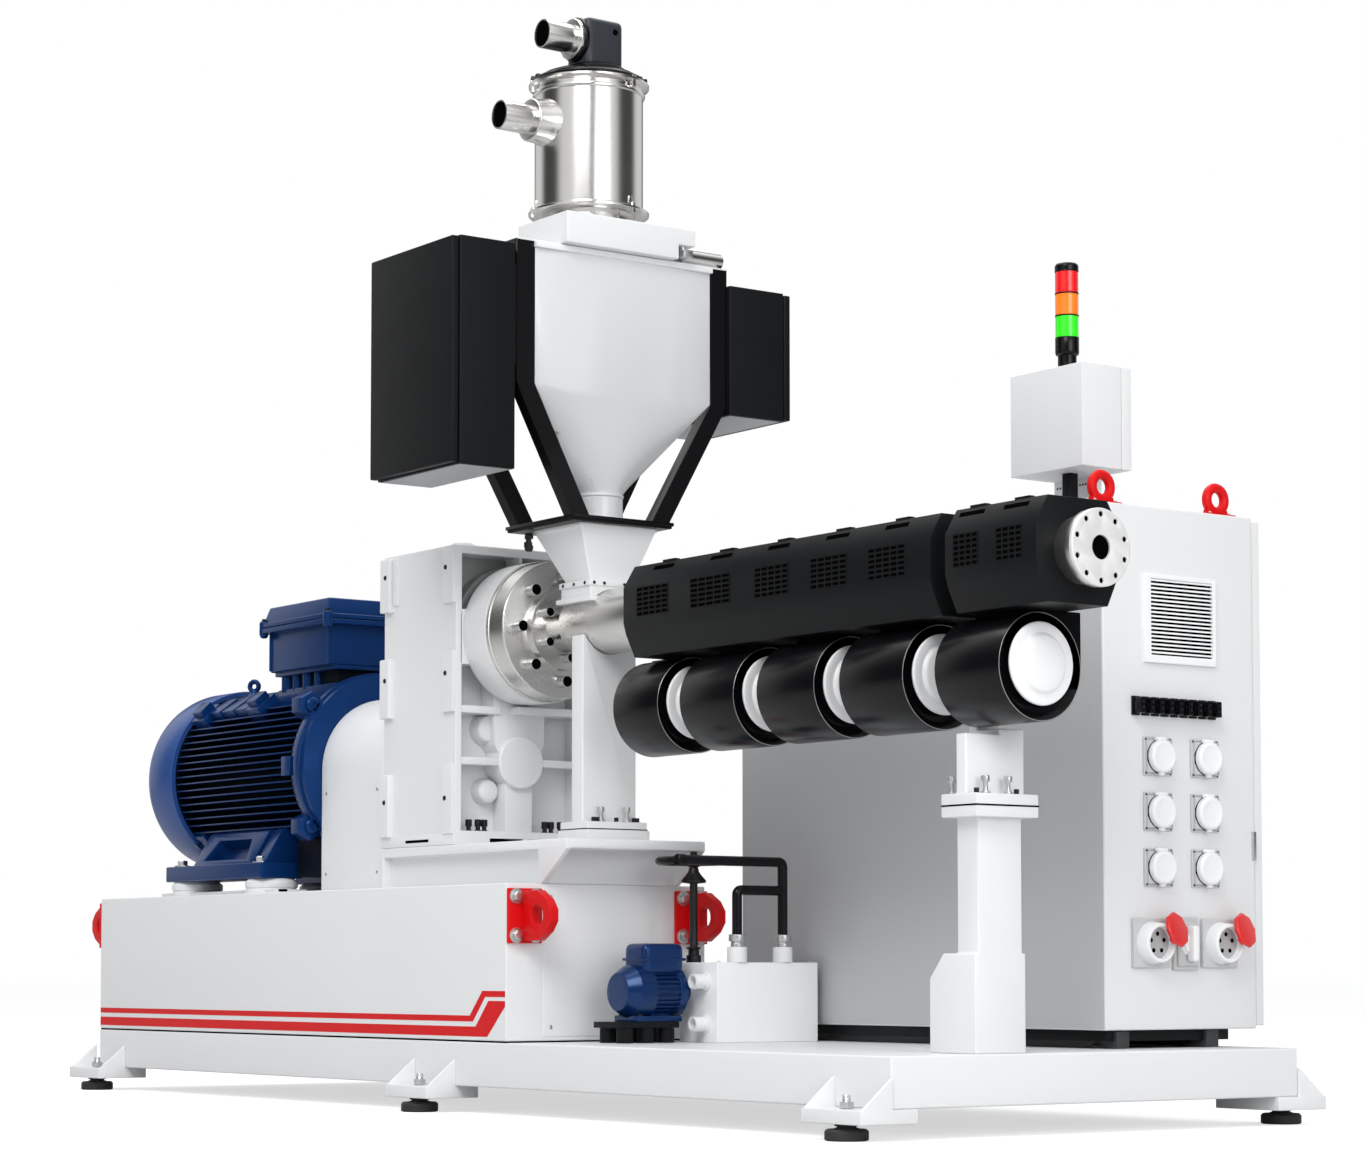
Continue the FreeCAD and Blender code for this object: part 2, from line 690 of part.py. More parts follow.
def door_hinges():
    out = []
    for z in HINGE_ZS:
        knuckle = cyl_z(z, z + KNUCKLE, HINGE_R, HINGE_X, HINGE_Y)
        pin = cyl_z(z, z + 2 * KNUCKLE + 6, PIN_R, HINGE_X, HINGE_Y)
        strap = box(CAB_X0 - 5, CAB_X0, CAB_Y1 - 50, HINGE_Y - 2, z, z + KNUCKLE)
        out.append(fuse([knuckle, pin, strap]))
    return out


def cabinet_feet():
    out = []
    for x in (CAB_X0 + 60, CAB_X1 - 60):
        for y in (CAB_Y0 + 50, CAB_Y1 - 110):
            out.append(cyl_z(DECK_Z, CAB_Z0, 24, x, y))
    return out


def cabinet_eyes():
    out = []
    x0, x1 = CAB_X1 - EYE_IN - EYE_T / 2, CAB_X1 - EYE_IN + EYE_T / 2
    for y in (CAB_Y0 + EYE_FRONT, CAB_Y1 - EYE_BACK):
        plate = box(x0, x1, y - EYE_HALF, y + EYE_HALF, CAB_Z1, CAB_Z1 + EYE_RISE)
        disc = cyl_x(x0, x1, EYE_R, y, CAB_Z1 + EYE_RISE)
        out.append(fuse([plate, disc]).cut(cyl_x(x0 - 1, x1 + 1, EYE_HOLE_R, y, CAB_Z1 + EYE_HOLE_Z)))
    return out


def vent_grille():
    return [box(CAB_X1, CAB_X1 + GRILLE_T, *GRILLE_Y, *GRILLE_Z)]


def connector_row():
    out = []
    for i in range(PLUG_COUNT):
        y = PLUG_Y + i * PLUG_PITCH
        out.append(box(CAB_X1, CAB_X1 + PLUG_T, y, y + PLUG_W, *PLUG_Z))
    return out


def socket(y, z, half, thick, radius, reach):
    flange = box(CAB_X1, CAB_X1 + thick, y - half, y + half, z - half, z + half)
    return fuse([flange, cyl_x(CAB_X1 + thick, CAB_X1 + reach, radius, y, z)])


def round_sockets():
    return [socket(y, z, ROUND_HALF, ROUND_T, ROUND_R, ROUND_OUT) for y in ROUND_Y for z in ROUND_Z]


def plug_sockets():
    sizes = (PIN_SOCKET_HALF, PIN_SOCKET_T, PIN_SOCKET_R, PIN_SOCKET_OUT)
    return [socket(y, PIN_SOCKET_Z, *sizes) for y in PIN_SOCKET_Y]


def main_switch():
    face = CAB_X1 + SWITCH_T
    base = box(CAB_X1, face, SWITCH_Y - SWITCH_HALF, SWITCH_Y + SWITCH_HALF, *SWITCH_Z)
    knob = box(face, CAB_X1 + PIN_SOCKET_OUT, SWITCH_Y - KNOB_HALF, SWITCH_Y + KNOB_HALF, *KNOB_Z)
    return [fuse([base, knob])]


def control_head():
    return [box(*PEN_X, *PEN_Y, PEN_Z0, PEN_Z1)]


def square(x, y, half, z0, z1):
    return box(x - half, x + half, y - half, y + half, z0, z1)


def head_bracket():
    post = square(MAST_X, MAST_Y, MAST_HALF, CAB_Z1, PEN_Z0)
    return [fuse([post, square(MAST_X, MAST_Y, MAST_FOOT, CAB_Z1, CAB_Z1 + MAST_FOOT_T)])]


def signal_tower():
    neck = cyl_z(PEN_Z1, PEN_Z1 + TOWER_NECK, TOWER_NECK_R, TOWER_X, TOWER_Y)
    stack = cyl_z(PEN_Z1 + TOWER_NECK, PEN_Z1 + TOWER_TOP, TOWER_R, TOWER_X, TOWER_Y)
    return [fuse([neck, stack])]


# ---- cooling water set ----
def water_tank():
    parts = [box(TANK_X0, TANK_X1, TANK_Y0, TANK_Y1, DECK_Z, TANK_Z)]
    parts += [cyl_y(TANK_Y0 - STUB_L, TANK_Y0, STUB_R, STUB_X, z) for z in STUB_Z]
    return [fuse(parts)]


def bent_pipe(points, bend, r):
    pts = [V(*p) for p in points]
    edges, start = [], pts[0]
    for a, b, c in zip(pts, pts[1:], pts[2:]):
        into, out = (b - a).normalize(), (c - b).normalize()
        p, q = b - into * bend, b + out * bend
        centre = p + out * bend
        middle = centre - (out - into).normalize() * bend
        edges.append(Part.LineSegment(start, p).toShape())
        edges.append(Part.Arc(p, middle, q).toShape())
        start = q
    edges.append(Part.LineSegment(start, pts[-1]).toShape())
    first = (pts[1] - pts[0]).normalize()
    ring = Part.Wire(Part.Circle(pts[0], first, r).toShape())
    return Part.Wire(edges).makePipeShell([ring], True, True)


def pipework():
    x, ya, yb = PIPE_X, PIPE_YA, PIPE_YB
    low = [(x, ya, TANK_Z), (x, ya, PIPE_LOW), (x, yb, PIPE_LOW)]
    tall = [(x, yb, TANK_Z), (x, yb, PIPE_TOP), (x, PIPE_END, PIPE_TOP)]
    parts = [bent_pipe(points, PIPE_BEND, PIPE_R) for points in (low, tall)]
    for y in (ya, yb):
        parts.append(cyl_z(TANK_Z, PIPE_NUT_Z, PIPE_NUT_R, x, y))
    parts.append(cyl_y(PIPE_END, PIPE_END + PIPE_NUT_L, PIPE_NUT_R, x, PIPE_TOP))
    return [fuse(parts)]


def valve_stem():
    x, y = WHEEL_X, WHEEL_Y
    seat, top = WHEEL_Z - HUB_H / 2 - SEAT, WHEEL_Z + HUB_H / 2 + NUT_H
    parts = [cyl_z(TANK_Z, TANK_Z + STEM_BASE_H, STEM_BASE_R, x, y)]
    parts.append(cyl_z(TANK_Z, seat, STEM_R, x, y))
    parts.append(Part.makeCone(*BONNET_R, BONNET_H, V(x, y, WHEEL_Z - BONNET_DROP), V(0, 0, 1)))
    parts.append(cyl_z(seat, top, PIN_R, x, y))
    parts.append(cyl_z(WHEEL_Z + HUB_H / 2 + SEAT, top, STEM_R, x, y))
    return [fuse(parts)]


def valve_handwheel():
    x, y, z, reach = WHEEL_X, WHEEL_Y, WHEEL_Z, WHEEL_R - RIM_R
    w, t = SPOKE_W / 2, SPOKE_T / 2
    rim = Part.makeTorus(reach, RIM_R, V(x, y, z), V(0, 0, 1))
    hub = cyl_z(z - HUB_H / 2, z + HUB_H / 2, HUB_WHEEL_R, x, y)
    bars = [box(x - reach, x + reach, y - w, y + w, z - t, z + t)]
    bars.append(box(x - w, x + w, y - reach, y + reach, z - t, z + t))
    return [fuse([rim, hub] + bars).cut(cyl_z(z - HUB_H, z + HUB_H, PIN_R + PIN_GAP, x, y))]


def pump_motor():
    x, z, y0 = PUMP_X, PUMP_Z, PUMP_Y0
    parts = [cyl_y(y0, y0 + PUMP_L, PUMP_R, x, z), cyl_y(y0 + PUMP_L, TANK_Y0, PUMP_SHAFT_R, x, z)]
    half, ya, yb, za, zb = PUMP_BOX
    parts.append(box(x - half, x + half, y0 + ya, y0 + yb, z + za, z + zb))
    half, ya, yb, foot = PUMP_FOOT
    parts.append(box(x - half, x + half, y0 + ya, y0 + yb, foot, z))
    return [fuse(parts)]


def pump_mount():
    x, y, z = PUMP_X, PUMP_Y0, PUMP_PLATE_Z
    xa, xb, ya, yb = PUMP_PLATE
    parts = [box(x + xa, x + xb, y + ya, y + yb, z, z + PUMP_PLATE_T)]
    for dx in MOUNT_X:
        for i in range(3):
            parts.append(cyl_z(DECK_Z, z, MOUNT_R, x + dx, y + i * MOUNT_PITCH))
    return [fuse(parts)]


MAKERS = [
    base_frame, foot_brackets, foot_pads, motor_base_box, lifting_lugs, gearbox_table, gearbox_housing,
    output_flange, barrel, screw, die_flange, barrel_cover_main, barrel_cover_die, blowers,
    blower_caps, feed_post, die_post, motor_body, motor_fan_cowl, motor_feet, motor_pads,
    terminal_box, coupling_guard, feed_funnel, hopper_frame, hopper_body, side_box_tall,
    side_box_short, junction_block, loader_foot, loader_body, loader_lid, loader_elbow,
    cabinet_body, cabinet_door, door_hinges, cabinet_feet, cabinet_eyes, vent_grille, connector_row,
    round_sockets, plug_sockets, main_switch, control_head, head_bracket, signal_tower,
    water_tank, pipework, valve_stem, valve_handwheel, pump_motor, pump_mount,
]

made = [(m.__name__, m()) for m in MAKERS]
bounds = FreeCAD.BoundBox()
for name, solids in made:
    for s in solids:
        bounds.add(s.BoundBox)
shift = V(-(bounds.XMin + bounds.XMax) / 2, -(bounds.YMin + bounds.YMax) / 2, -bounds.ZMin)
for name, solids in made:
    shape = solids[0] if len(solids) == 1 else Part.makeCompound(solids)
    shape.translate(shift)
    shape.exportStep("parts/" + name + ".step")
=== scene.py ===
"""Looks of a single-screw plastic extruder line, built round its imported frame."""
import json
import logging
import math
from collections.abc import Iterator, Sequence
from contextlib import contextmanager
from dataclasses import dataclass
from enum import Enum

import bpy
from mathutils import Matrix, Quaternion, Vector

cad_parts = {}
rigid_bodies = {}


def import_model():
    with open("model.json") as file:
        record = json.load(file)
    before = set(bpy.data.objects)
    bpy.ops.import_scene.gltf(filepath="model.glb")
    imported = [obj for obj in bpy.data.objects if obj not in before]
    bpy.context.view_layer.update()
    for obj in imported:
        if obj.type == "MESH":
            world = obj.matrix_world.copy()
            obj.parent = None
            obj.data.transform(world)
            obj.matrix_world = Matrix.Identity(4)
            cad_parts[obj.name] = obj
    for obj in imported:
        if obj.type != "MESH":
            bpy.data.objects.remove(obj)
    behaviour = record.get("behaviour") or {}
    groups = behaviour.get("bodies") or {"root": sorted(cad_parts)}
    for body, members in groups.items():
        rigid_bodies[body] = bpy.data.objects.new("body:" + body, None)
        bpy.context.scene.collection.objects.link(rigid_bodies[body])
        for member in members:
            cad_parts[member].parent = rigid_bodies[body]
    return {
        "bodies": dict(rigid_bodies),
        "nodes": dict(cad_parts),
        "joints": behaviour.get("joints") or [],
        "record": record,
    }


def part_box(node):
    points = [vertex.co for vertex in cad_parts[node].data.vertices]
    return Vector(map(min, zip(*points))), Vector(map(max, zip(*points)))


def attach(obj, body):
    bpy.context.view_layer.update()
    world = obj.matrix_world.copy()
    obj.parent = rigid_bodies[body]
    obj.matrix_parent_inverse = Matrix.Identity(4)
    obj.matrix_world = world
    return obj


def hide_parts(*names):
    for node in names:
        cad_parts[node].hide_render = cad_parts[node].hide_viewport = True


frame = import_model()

LOG = logging.getLogger("extruder")
MM = 0.001
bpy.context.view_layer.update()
DATUM = Vector((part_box("base_frame")[1].x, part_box("base_frame")[0].y, 0.0))
TO_ROW = Matrix.Translation(DATUM) @ Matrix.Scale(MM, 4)
TO_LINE = TO_ROW.inverted()
Obj = bpy.types.Object
Point = Sequence[float]


def spot(node: str) -> tuple[Vector, Vector]:
    """Lowest and highest corner of a CAD node, in millimetres on the line's own axes.

    Args:
        node: name of the CAD node.

    Returns:
        The two corners.
    """
    lo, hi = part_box(node)
    return TO_LINE @ lo, TO_LINE @ hi


def middle(node: str) -> Vector:
    """Centre of a CAD node's box, in millimetres on the line's own axes."""
    lo, hi = spot(node)
    return (lo + hi) / 2


class Axis(Enum):
    """Directions that round pieces point in."""

    X = (1.0, 0.0, 0.0)
    Y = (0.0, 1.0, 0.0)
    Z = (0.0, 0.0, 1.0)
    BACK_X = (-1.0, 0.0, 0.0)
    BACK_Y = (0.0, -1.0, 0.0)


# ---------------------------------------------------------------- bench tools

def deselect() -> None:
    """Deselects everything."""
    for o in bpy.context.selected_objects:
        o.select_set(False)


def only(*objs: Obj) -> None:
    """Selects these objects alone and makes the last one active."""
    deselect()
    for o in objs:
        o.select_set(True)
    bpy.context.view_layer.objects.active = objs[-1]


def placed(name: str, data: object) -> Obj:
    """A new object in the scene, made from its data."""
    obj = bpy.data.objects.new(name, data)
    bpy.context.scene.collection.objects.link(obj)
    return obj


@contextmanager
def editing(obj: Obj) -> Iterator[None]:
    """Edit mode on one object, with all of its mesh selected."""
    only(obj)
    bpy.ops.object.mode_set(mode="EDIT")
    bpy.ops.mesh.select_all(action="SELECT")
    yield
    bpy.ops.object.mode_set(mode="OBJECT")


def modified(obj: Obj, kind: str, **settings: object) -> Obj:
    """Adds a modifier, sets it and applies it.

    Args:
        obj: the object worked on.
        kind: the modifier's type.
        settings: its attributes.

    Returns:
        The same object.
    """
    only(obj)
    mod = obj.modifiers.new(kind.lower(), kind)
    for key, value in settings.items():
        setattr(mod, key, value)
    bpy.ops.object.modifier_apply(modifier=mod.name)
    return obj


def rounded(obj: Obj, width: float = 1.5, segments: int = 2, angle: float = 35.0) -> Obj:
    """Rounds the sharp edges of a piece."""
    if width > 0:
        modified(obj, "BEVEL", width=width, segments=segments, limit_method="ANGLE",
                 angle_limit=math.radians(angle), use_clamp_overlap=False, profile=0.6)
    return obj


def settled(obj: Obj) -> Obj:
    """Puts an object's place, turn and scale into its mesh."""
    only(obj)
    bpy.ops.object.transform_apply(location=True, rotation=True, scale=True)
    return obj


def turn_to(direction: Axis | Point) -> Quaternion:
    """Rotation that points local +Z along a direction."""
    way = direction.value if isinstance(direction, Axis) else direction
    return Vector(way).to_track_quat("Z", "Y")


def block(lo: Point, hi: Point, edge: float = 1.5, segments: int = 2) -> Obj:
    """A box between two opposite corners, in any order, with rounded edges."""
    a, b = Vector(lo), Vector(hi)
    deselect()
    bpy.ops.mesh.primitive_cube_add(size=1, location=(a + b) / 2)
    obj = bpy.context.active_object
    obj.scale = [abs(v) for v in b - a]
    return rounded(settled(obj), edge, segments)


def rod(start: Point, end: Point, radius: float, sides: int = 32, edge: float = 1.0) -> Obj:
    """A round bar between two points, with rounded ends."""
    a, b = Vector(start), Vector(end)
    deselect()
    bpy.ops.mesh.primitive_cylinder_add(vertices=sides, radius=radius, depth=(b - a).length,
                                        location=(a + b) / 2, rotation=turn_to(b - a).to_euler())
    return rounded(settled(bpy.context.active_object), edge)


def turned(base: Point, axis: Axis | Point, profile: Sequence[tuple[float, float]], sides: int = 48,
           edge: float = 0.8) -> Obj:
    """A lathe-turned piece, drawn out ring by ring from its first disc.

    Args:
        base: where height 0 lies.
        axis: the direction that heights run in.
        profile: (height, radius) pairs, from the first face round to the last.
        sides: facets round the piece.
        edge: how far sharp edges are rounded.

    Returns:
        The closed piece.
    """
    h0, r0 = profile[0]
    deselect()
    bpy.ops.mesh.primitive_circle_add(vertices=sides, radius=r0, fill_type="NGON", location=(0, 0, h0))
    obj = settled(bpy.context.active_object)
    with editing(obj):
        for (h1, r1), (h2, r2) in zip(profile, profile[1:]):
            bpy.ops.mesh.extrude_region_move(TRANSFORM_OT_translate={"value": (0, 0, h2 - h1)})
            if r2 != r1:
                k = r2 / r1
                bpy.ops.transform.resize(value=(k, k, 1), center_override=(0, 0, h2))
        bpy.ops.mesh.select_all(action="SELECT")
        bpy.ops.mesh.normals_make_consistent(inside=False)
    rounded(obj, edge)
    obj.location = Vector(base)
    obj.rotation_euler = turn_to(axis).to_euler()
    return settled(obj)


def plate(outline: Sequence[Point], thick: Point, edge: float = 1.5) -> Obj:
    """A flat outline drawn out along a vector.

    Args:
        outline: the corners in order.
        thick: how far and where the outline is drawn out.
        edge: how far sharp edges are rounded.

    Returns:
        The closed piece.
    """
    deselect()
    bpy.ops.mesh.primitive_circle_add(vertices=len(outline), radius=1, fill_type="NGON")
    obj = bpy.context.active_object
    for vertex, corner in zip(obj.data.vertices, outline):
        vertex.co = Vector(corner)
    with editing(obj):
        bpy.ops.mesh.extrude_region_move(TRANSFORM_OT_translate={"value": tuple(thick)})
        bpy.ops.mesh.select_all(action="SELECT")
        bpy.ops.mesh.normals_make_consistent(inside=False)
    return rounded(obj, edge)


def arc(centre: tuple[float, float], radius: float, start: float, end: float,
        steps: int) -> list[tuple[float, float]]:
    """Points along an arc, angles in degrees."""
    out = []
    for i in range(steps + 1):
        a = math.radians(start + (end - start) * i / steps)
        out.append((centre[0] + radius * math.cos(a), centre[1] + radius * math.sin(a)))
    return out


def joined(parts: Sequence[Obj]) -> Obj:
    """Several objects as one."""
    only(*parts)
    if len(parts) > 1:
        bpy.ops.object.join()
    return bpy.context.view_layer.objects.active


def carved(obj: Obj, cutter: Obj) -> Obj:
    """Cuts one object out of another and throws the cutter away."""
    modified(obj, "BOOLEAN", operation="DIFFERENCE", solver="EXACT", object=cutter)
    bpy.data.objects.remove(cutter)
    return obj


def set_out(template: Obj, places: Sequence[Matrix]) -> Obj:
    """Copies of one piece at many places, each with its own mesh, as one object.

    Args:
        template: the piece, modelled at the origin; it is used up.
        places: one matrix for each copy.

    Returns:
        All of the copies, joined.
    """
    copies = []
    for place in places:
        mesh = template.data.copy()
        mesh.transform(place)
        copies.append(placed(template.name + "_copy", mesh))
    bpy.data.objects.remove(template)
    return joined(copies)


def facing(point: Point, axis: Axis | Point, spin: float = 0.0) -> Matrix:
    """A place at a point with local +Z along an axis."""
    return (Matrix.Translation(Vector(point)) @ turn_to(axis).to_matrix().to_4x4()
            @ Matrix.Rotation(math.radians(spin), 4, "Z"))


def stood(template: Obj, points: Sequence[Point], axis: Axis | Point = Axis.Z,
          spin: float = 0.0) -> Obj:
    """Copies of one piece at many points, all with local +Z along one axis."""
    return set_out(template, [facing(point, axis, spin) for point in points])


def skin(node: str, edge: float = 2.0, segments: int = 2, angle: float = 35.0) -> Obj:
    """A worked-over copy of a CAD node's shape: merged, cleaned and with its edges rounded.

    Args:
        node: the CAD node copied.
        edge: how far sharp edges are rounded, in millimetres.
        segments: steps in each rounded edge.
        angle: edges sharper than this are rounded.

    Returns:
        The copy, on the line's own axes.
    """
    mesh = frame["nodes"][node].data.copy()
    mesh.transform(TO_LINE)
    mesh.materials.clear()
    obj = placed(node + "_skin", mesh)
    with editing(obj):
        bpy.ops.mesh.remove_doubles(threshold=0.02)
        bpy.ops.mesh.dissolve_limited(angle_limit=math.radians(1.0))
    return rounded(obj, edge, segments, angle)


# ---------------------------------------------------------------- effects and finishes

Tree = bpy.types.NodeTree


def linked(tree: Tree, source: object, target: object) -> None:
    """Links two sockets."""
    tree.links.new(source, target)


def new_group(name: str, inputs: Sequence[tuple[str, str, object]],
              outputs: Sequence[tuple[str, str]]) -> Tree:
    """An empty shader group with named sockets.

    Args:
        name: the group's name.
        inputs: (name, kind, value) of each input.
        outputs: (name, kind) of each output.

    Returns:
        The group, with its input and output nodes made.
    """
    group = bpy.data.node_groups.new(name, "ShaderNodeTree")
    for label, kind, value in inputs:
        made = group.interface.new_socket(name=label, in_out="INPUT", socket_type="NodeSocket" + kind)
        made.default_value = value
    for label, kind in outputs:
        group.interface.new_socket(name=label, in_out="OUTPUT", socket_type="NodeSocket" + kind)
    group.nodes.new("NodeGroupInput")
    group.nodes.new("NodeGroupOutput")
    return group


class Effect:
    """A shader group under construction: short names for its commonest nodes."""

    def __init__(self, name: str, inputs: Sequence[tuple[str, str, object]],
                 outputs: Sequence[tuple[str, str]]) -> None:
        """Makes the empty group."""
        self.tree = new_group(name, inputs, outputs)
        self.given = self.tree.nodes["Group Input"].outputs
        self.result = self.tree.nodes["Group Output"].inputs
        self.place = self.tree.nodes.new("ShaderNodeTexCoord").outputs["Object"]

    def noise(self, scale: float | object, detail: float = 3.0, stretch: Point = (1, 1, 1),
              rough: float = 0.5) -> object:
        """A noise value on the piece's own place."""
        mapping = self.tree.nodes.new("ShaderNodeMapping")
        mapping.inputs["Scale"].default_value = tuple(stretch)
        self.tree.links.new(self.place, mapping.inputs["Vector"])
        noise = self.tree.nodes.new("ShaderNodeTexNoise")
        noise.inputs["Detail"].default_value = detail
        noise.inputs["Roughness"].default_value = rough
        self.put(scale, noise.inputs["Scale"])
        self.tree.links.new(mapping.outputs["Vector"], noise.inputs["Vector"])
        return noise.outputs["Fac"]

    def put(self, value: object, socket: object) -> None:
        """Sets a socket to a number, or links another socket to it."""
        if isinstance(value, bpy.types.NodeSocket):
            self.tree.links.new(value, socket)
        else:
            socket.default_value = value

    def math(self, how: str, a: object, b: object = 0.0, c: object = 0.0) -> object:
        """A math node's value."""
        node = self.tree.nodes.new("ShaderNodeMath")
        node.operation = how
        for value, socket in zip((a, b, c), node.inputs):
            self.put(value, socket)
        return node.outputs[0]

    def window(self, value: object, low: float, high: float) -> object:
        """Maps low..high to 0..1, held at both ends."""
        node = self.tree.nodes.new("ShaderNodeMapRange")
        node.inputs["From Min"].default_value = low
        node.inputs["From Max"].default_value = high
        self.put(value, node.inputs["Value"])
        return node.outputs["Result"]

    def mix(self, factor: object, a: object, b: object) -> object:
        """A colour between two."""
        node = self.tree.nodes.new("ShaderNodeMix")
        node.data_type = "RGBA"
        for value, socket in ((factor, node.inputs[0]), (a, node.inputs[6]), (b, node.inputs[7])):
            self.put(value, socket)
        return node.outputs[2]

    def up(self) -> object:
        """How far a surface faces upwards."""
        normal = self.tree.nodes.new("ShaderNodeTexCoord").outputs["Normal"]
        split = self.tree.nodes.new("ShaderNodeSeparateXYZ")
        self.tree.links.new(normal, split.inputs[0])
        return split.outputs["Z"]


def paint_effect() -> Tree:
    """Sprayed or powder paint: fine orange peel, slow tone drift and a little dust on ledges."""
    fx = Effect("sprayed_paint", [("Colour", "Color", (1, 1, 1, 1)),
                                  ("Dust", "Color", (0.6, 0.6, 0.58, 1)), ("Dust Amount", "Float", 0.1),
                                  ("Drift", "Float", 0.04), ("Roughness", "Float", 0.4),
                                  ("Peel Scale", "Float", 700.0)],
                [("Colour", "Color"), ("Roughness", "Float"), ("Height", "Float")])
    drift = fx.noise(2.2, 4.0)
    spots = fx.noise(38.0, 3.0)
    tone = fx.math("MULTIPLY", fx.math("SUBTRACT", 1.0, drift), fx.given["Drift"])
    darker = fx.mix(tone, fx.given["Colour"], (0, 0, 0, 1))
    ledge = fx.math("MULTIPLY", fx.window(fx.up(), 0.35, 1.0), fx.window(spots, 0.3, 0.75))
    dusty = fx.mix(fx.math("MULTIPLY", ledge, fx.given["Dust Amount"]), darker, fx.given["Dust"])
    linked(fx.tree, dusty, fx.result["Colour"])
    sheen = fx.math("MULTIPLY_ADD", fx.math("SUBTRACT", drift, 0.5), 0.12, fx.given["Roughness"])
    rough = fx.math("MULTIPLY_ADD", ledge, fx.math("MULTIPLY", fx.given["Dust Amount"], 0.6), sheen)
    linked(fx.tree, rough, fx.result["Roughness"])
    peel = fx.noise(fx.given["Peel Scale"], 2.0)
    linked(fx.tree, peel, fx.result["Height"])
    return fx.tree


def steel_effect() -> Tree:
    """Machined or rolled steel: fine tool lines one way, with soft clouding."""
    fx = Effect("worked_steel", [("Colour", "Color", (0.7, 0.7, 0.7, 1)), ("Roughness", "Float", 0.25),
                                 ("Clouding", "Float", 0.12), ("Lines", "Float", 0.5)],
                [("Colour", "Color"), ("Roughness", "Float"), ("Height", "Float")])
    lines = fx.noise(90.0, 4.0, (1.0, 14.0, 14.0))
    rings = fx.noise(120.0, 3.0, (14.0, 1.0, 1.0))
    both = fx.math("MULTIPLY", fx.math("ADD", lines, rings), 0.5)
    cloud = fx.noise(6.0, 4.0)
    dull = fx.mix(fx.math("MULTIPLY", cloud, fx.given["Clouding"]), fx.given["Colour"],
                  (0.28, 0.28, 0.29, 1))
    linked(fx.tree, dull, fx.result["Colour"])
    swing = fx.math("MULTIPLY", fx.math("SUBTRACT", both, 0.5),
                    fx.math("MULTIPLY", fx.given["Lines"], 0.5))
    rough = fx.math("ADD", fx.math("MULTIPLY_ADD", cloud, 0.08, fx.given["Roughness"]), swing)
    linked(fx.tree, rough, fx.result["Roughness"])
    linked(fx.tree, fx.math("MULTIPLY", both, fx.given["Lines"]), fx.result["Height"])
    return fx.tree


def mould_effect() -> Tree:
    """Moulded plastic and rubber: fine grain with scuffs."""
    fx = Effect("moulded_grain", [("Colour", "Color", (0.02, 0.02, 0.02, 1)),
                                  ("Scuff", "Color", (0.1, 0.1, 0.1, 1)), ("Roughness", "Float", 0.5),
                                  ("Grain Scale", "Float", 900.0)],
                [("Colour", "Color"), ("Roughness", "Float"), ("Height", "Float")])
    grain = fx.noise(fx.given["Grain Scale"], 2.0)
    cloud = fx.noise(14.0, 5.0, rough=0.6)
    scuff = fx.math("MULTIPLY", fx.window(cloud, 0.5, 0.8), 0.35)
    linked(fx.tree, fx.mix(scuff, fx.given["Colour"], fx.given["Scuff"]), fx.result["Colour"])
    linked(fx.tree, fx.math("MULTIPLY_ADD", scuff, 0.25, fx.given["Roughness"]), fx.result["Roughness"])
    linked(fx.tree, grain, fx.result["Height"])
    return fx.tree


PAINT = paint_effect()
STEEL = steel_effect()
MOULD = mould_effect()
METAL_RELIEF = 0.004
GRAIN_RELIEF = 0.08
COAT_ROUGHNESS = 0.08


@dataclass(frozen=True)
class Coat:
    """One finish: a shader group with this finish's own values, and a shader.

    Attributes:
        name: the material's name.
        effect: the shared shader group.
        values: the group's inputs.
        metallic: 1 for bare metal.
        clear: weight of the clear coat.
        bump: strength of the surface relief.
        glow: strength of light given off.
        bump_depth: height of the surface relief, in metres.
        gloss: the shader's specular level.
        tint: colour of the reflections seen face on.
        slot: the record's material slot for stand-ins with this finish.
    """

    name: str
    effect: Tree
    values: tuple[tuple[str, object], ...]
    metallic: float = 0.0
    clear: float = 0.0
    bump: float = 0.05
    glow: float = 0.0
    bump_depth: float = 0.0002
    gloss: float = 0.5
    tint: tuple[float, float, float] = (1.0, 1.0, 1.0)
    slot: str | None = None

    def material(self) -> bpy.types.Material:
        """The material, made once."""
        found = bpy.data.materials.get(self.name)
        if found:
            return found
        mat = bpy.data.materials.new(self.name)
        mat.use_nodes = True
        tree = mat.node_tree
        shader = tree.nodes["Principled BSDF"]
        group = tree.nodes.new("ShaderNodeGroup")
        group.node_tree = self.effect
        for label, value in self.values:
            group.inputs[label].default_value = value
        bump = tree.nodes.new("ShaderNodeBump")
        bump.inputs["Strength"].default_value = self.bump
        bump.inputs["Distance"].default_value = self.bump_depth
        linked(tree, group.outputs["Colour"], shader.inputs["Base Color"])
        linked(tree, group.outputs["Roughness"], shader.inputs["Roughness"])
        linked(tree, group.outputs["Height"], bump.inputs["Height"])
        linked(tree, bump.outputs["Normal"], shader.inputs["Normal"])
        shader.inputs["Metallic"].default_value = self.metallic
        shader.inputs["Coat Weight"].default_value = self.clear
        shader.inputs["Coat Roughness"].default_value = COAT_ROUGHNESS
        shader.inputs["Specular IOR Level"].default_value = self.gloss
        shader.inputs["Specular Tint"].default_value = (*self.tint, 1.0)
        if self.glow:
            linked(tree, group.outputs["Colour"], shader.inputs["Emission Color"])
            shader.inputs["Emission Strength"].default_value = self.glow
        return mat


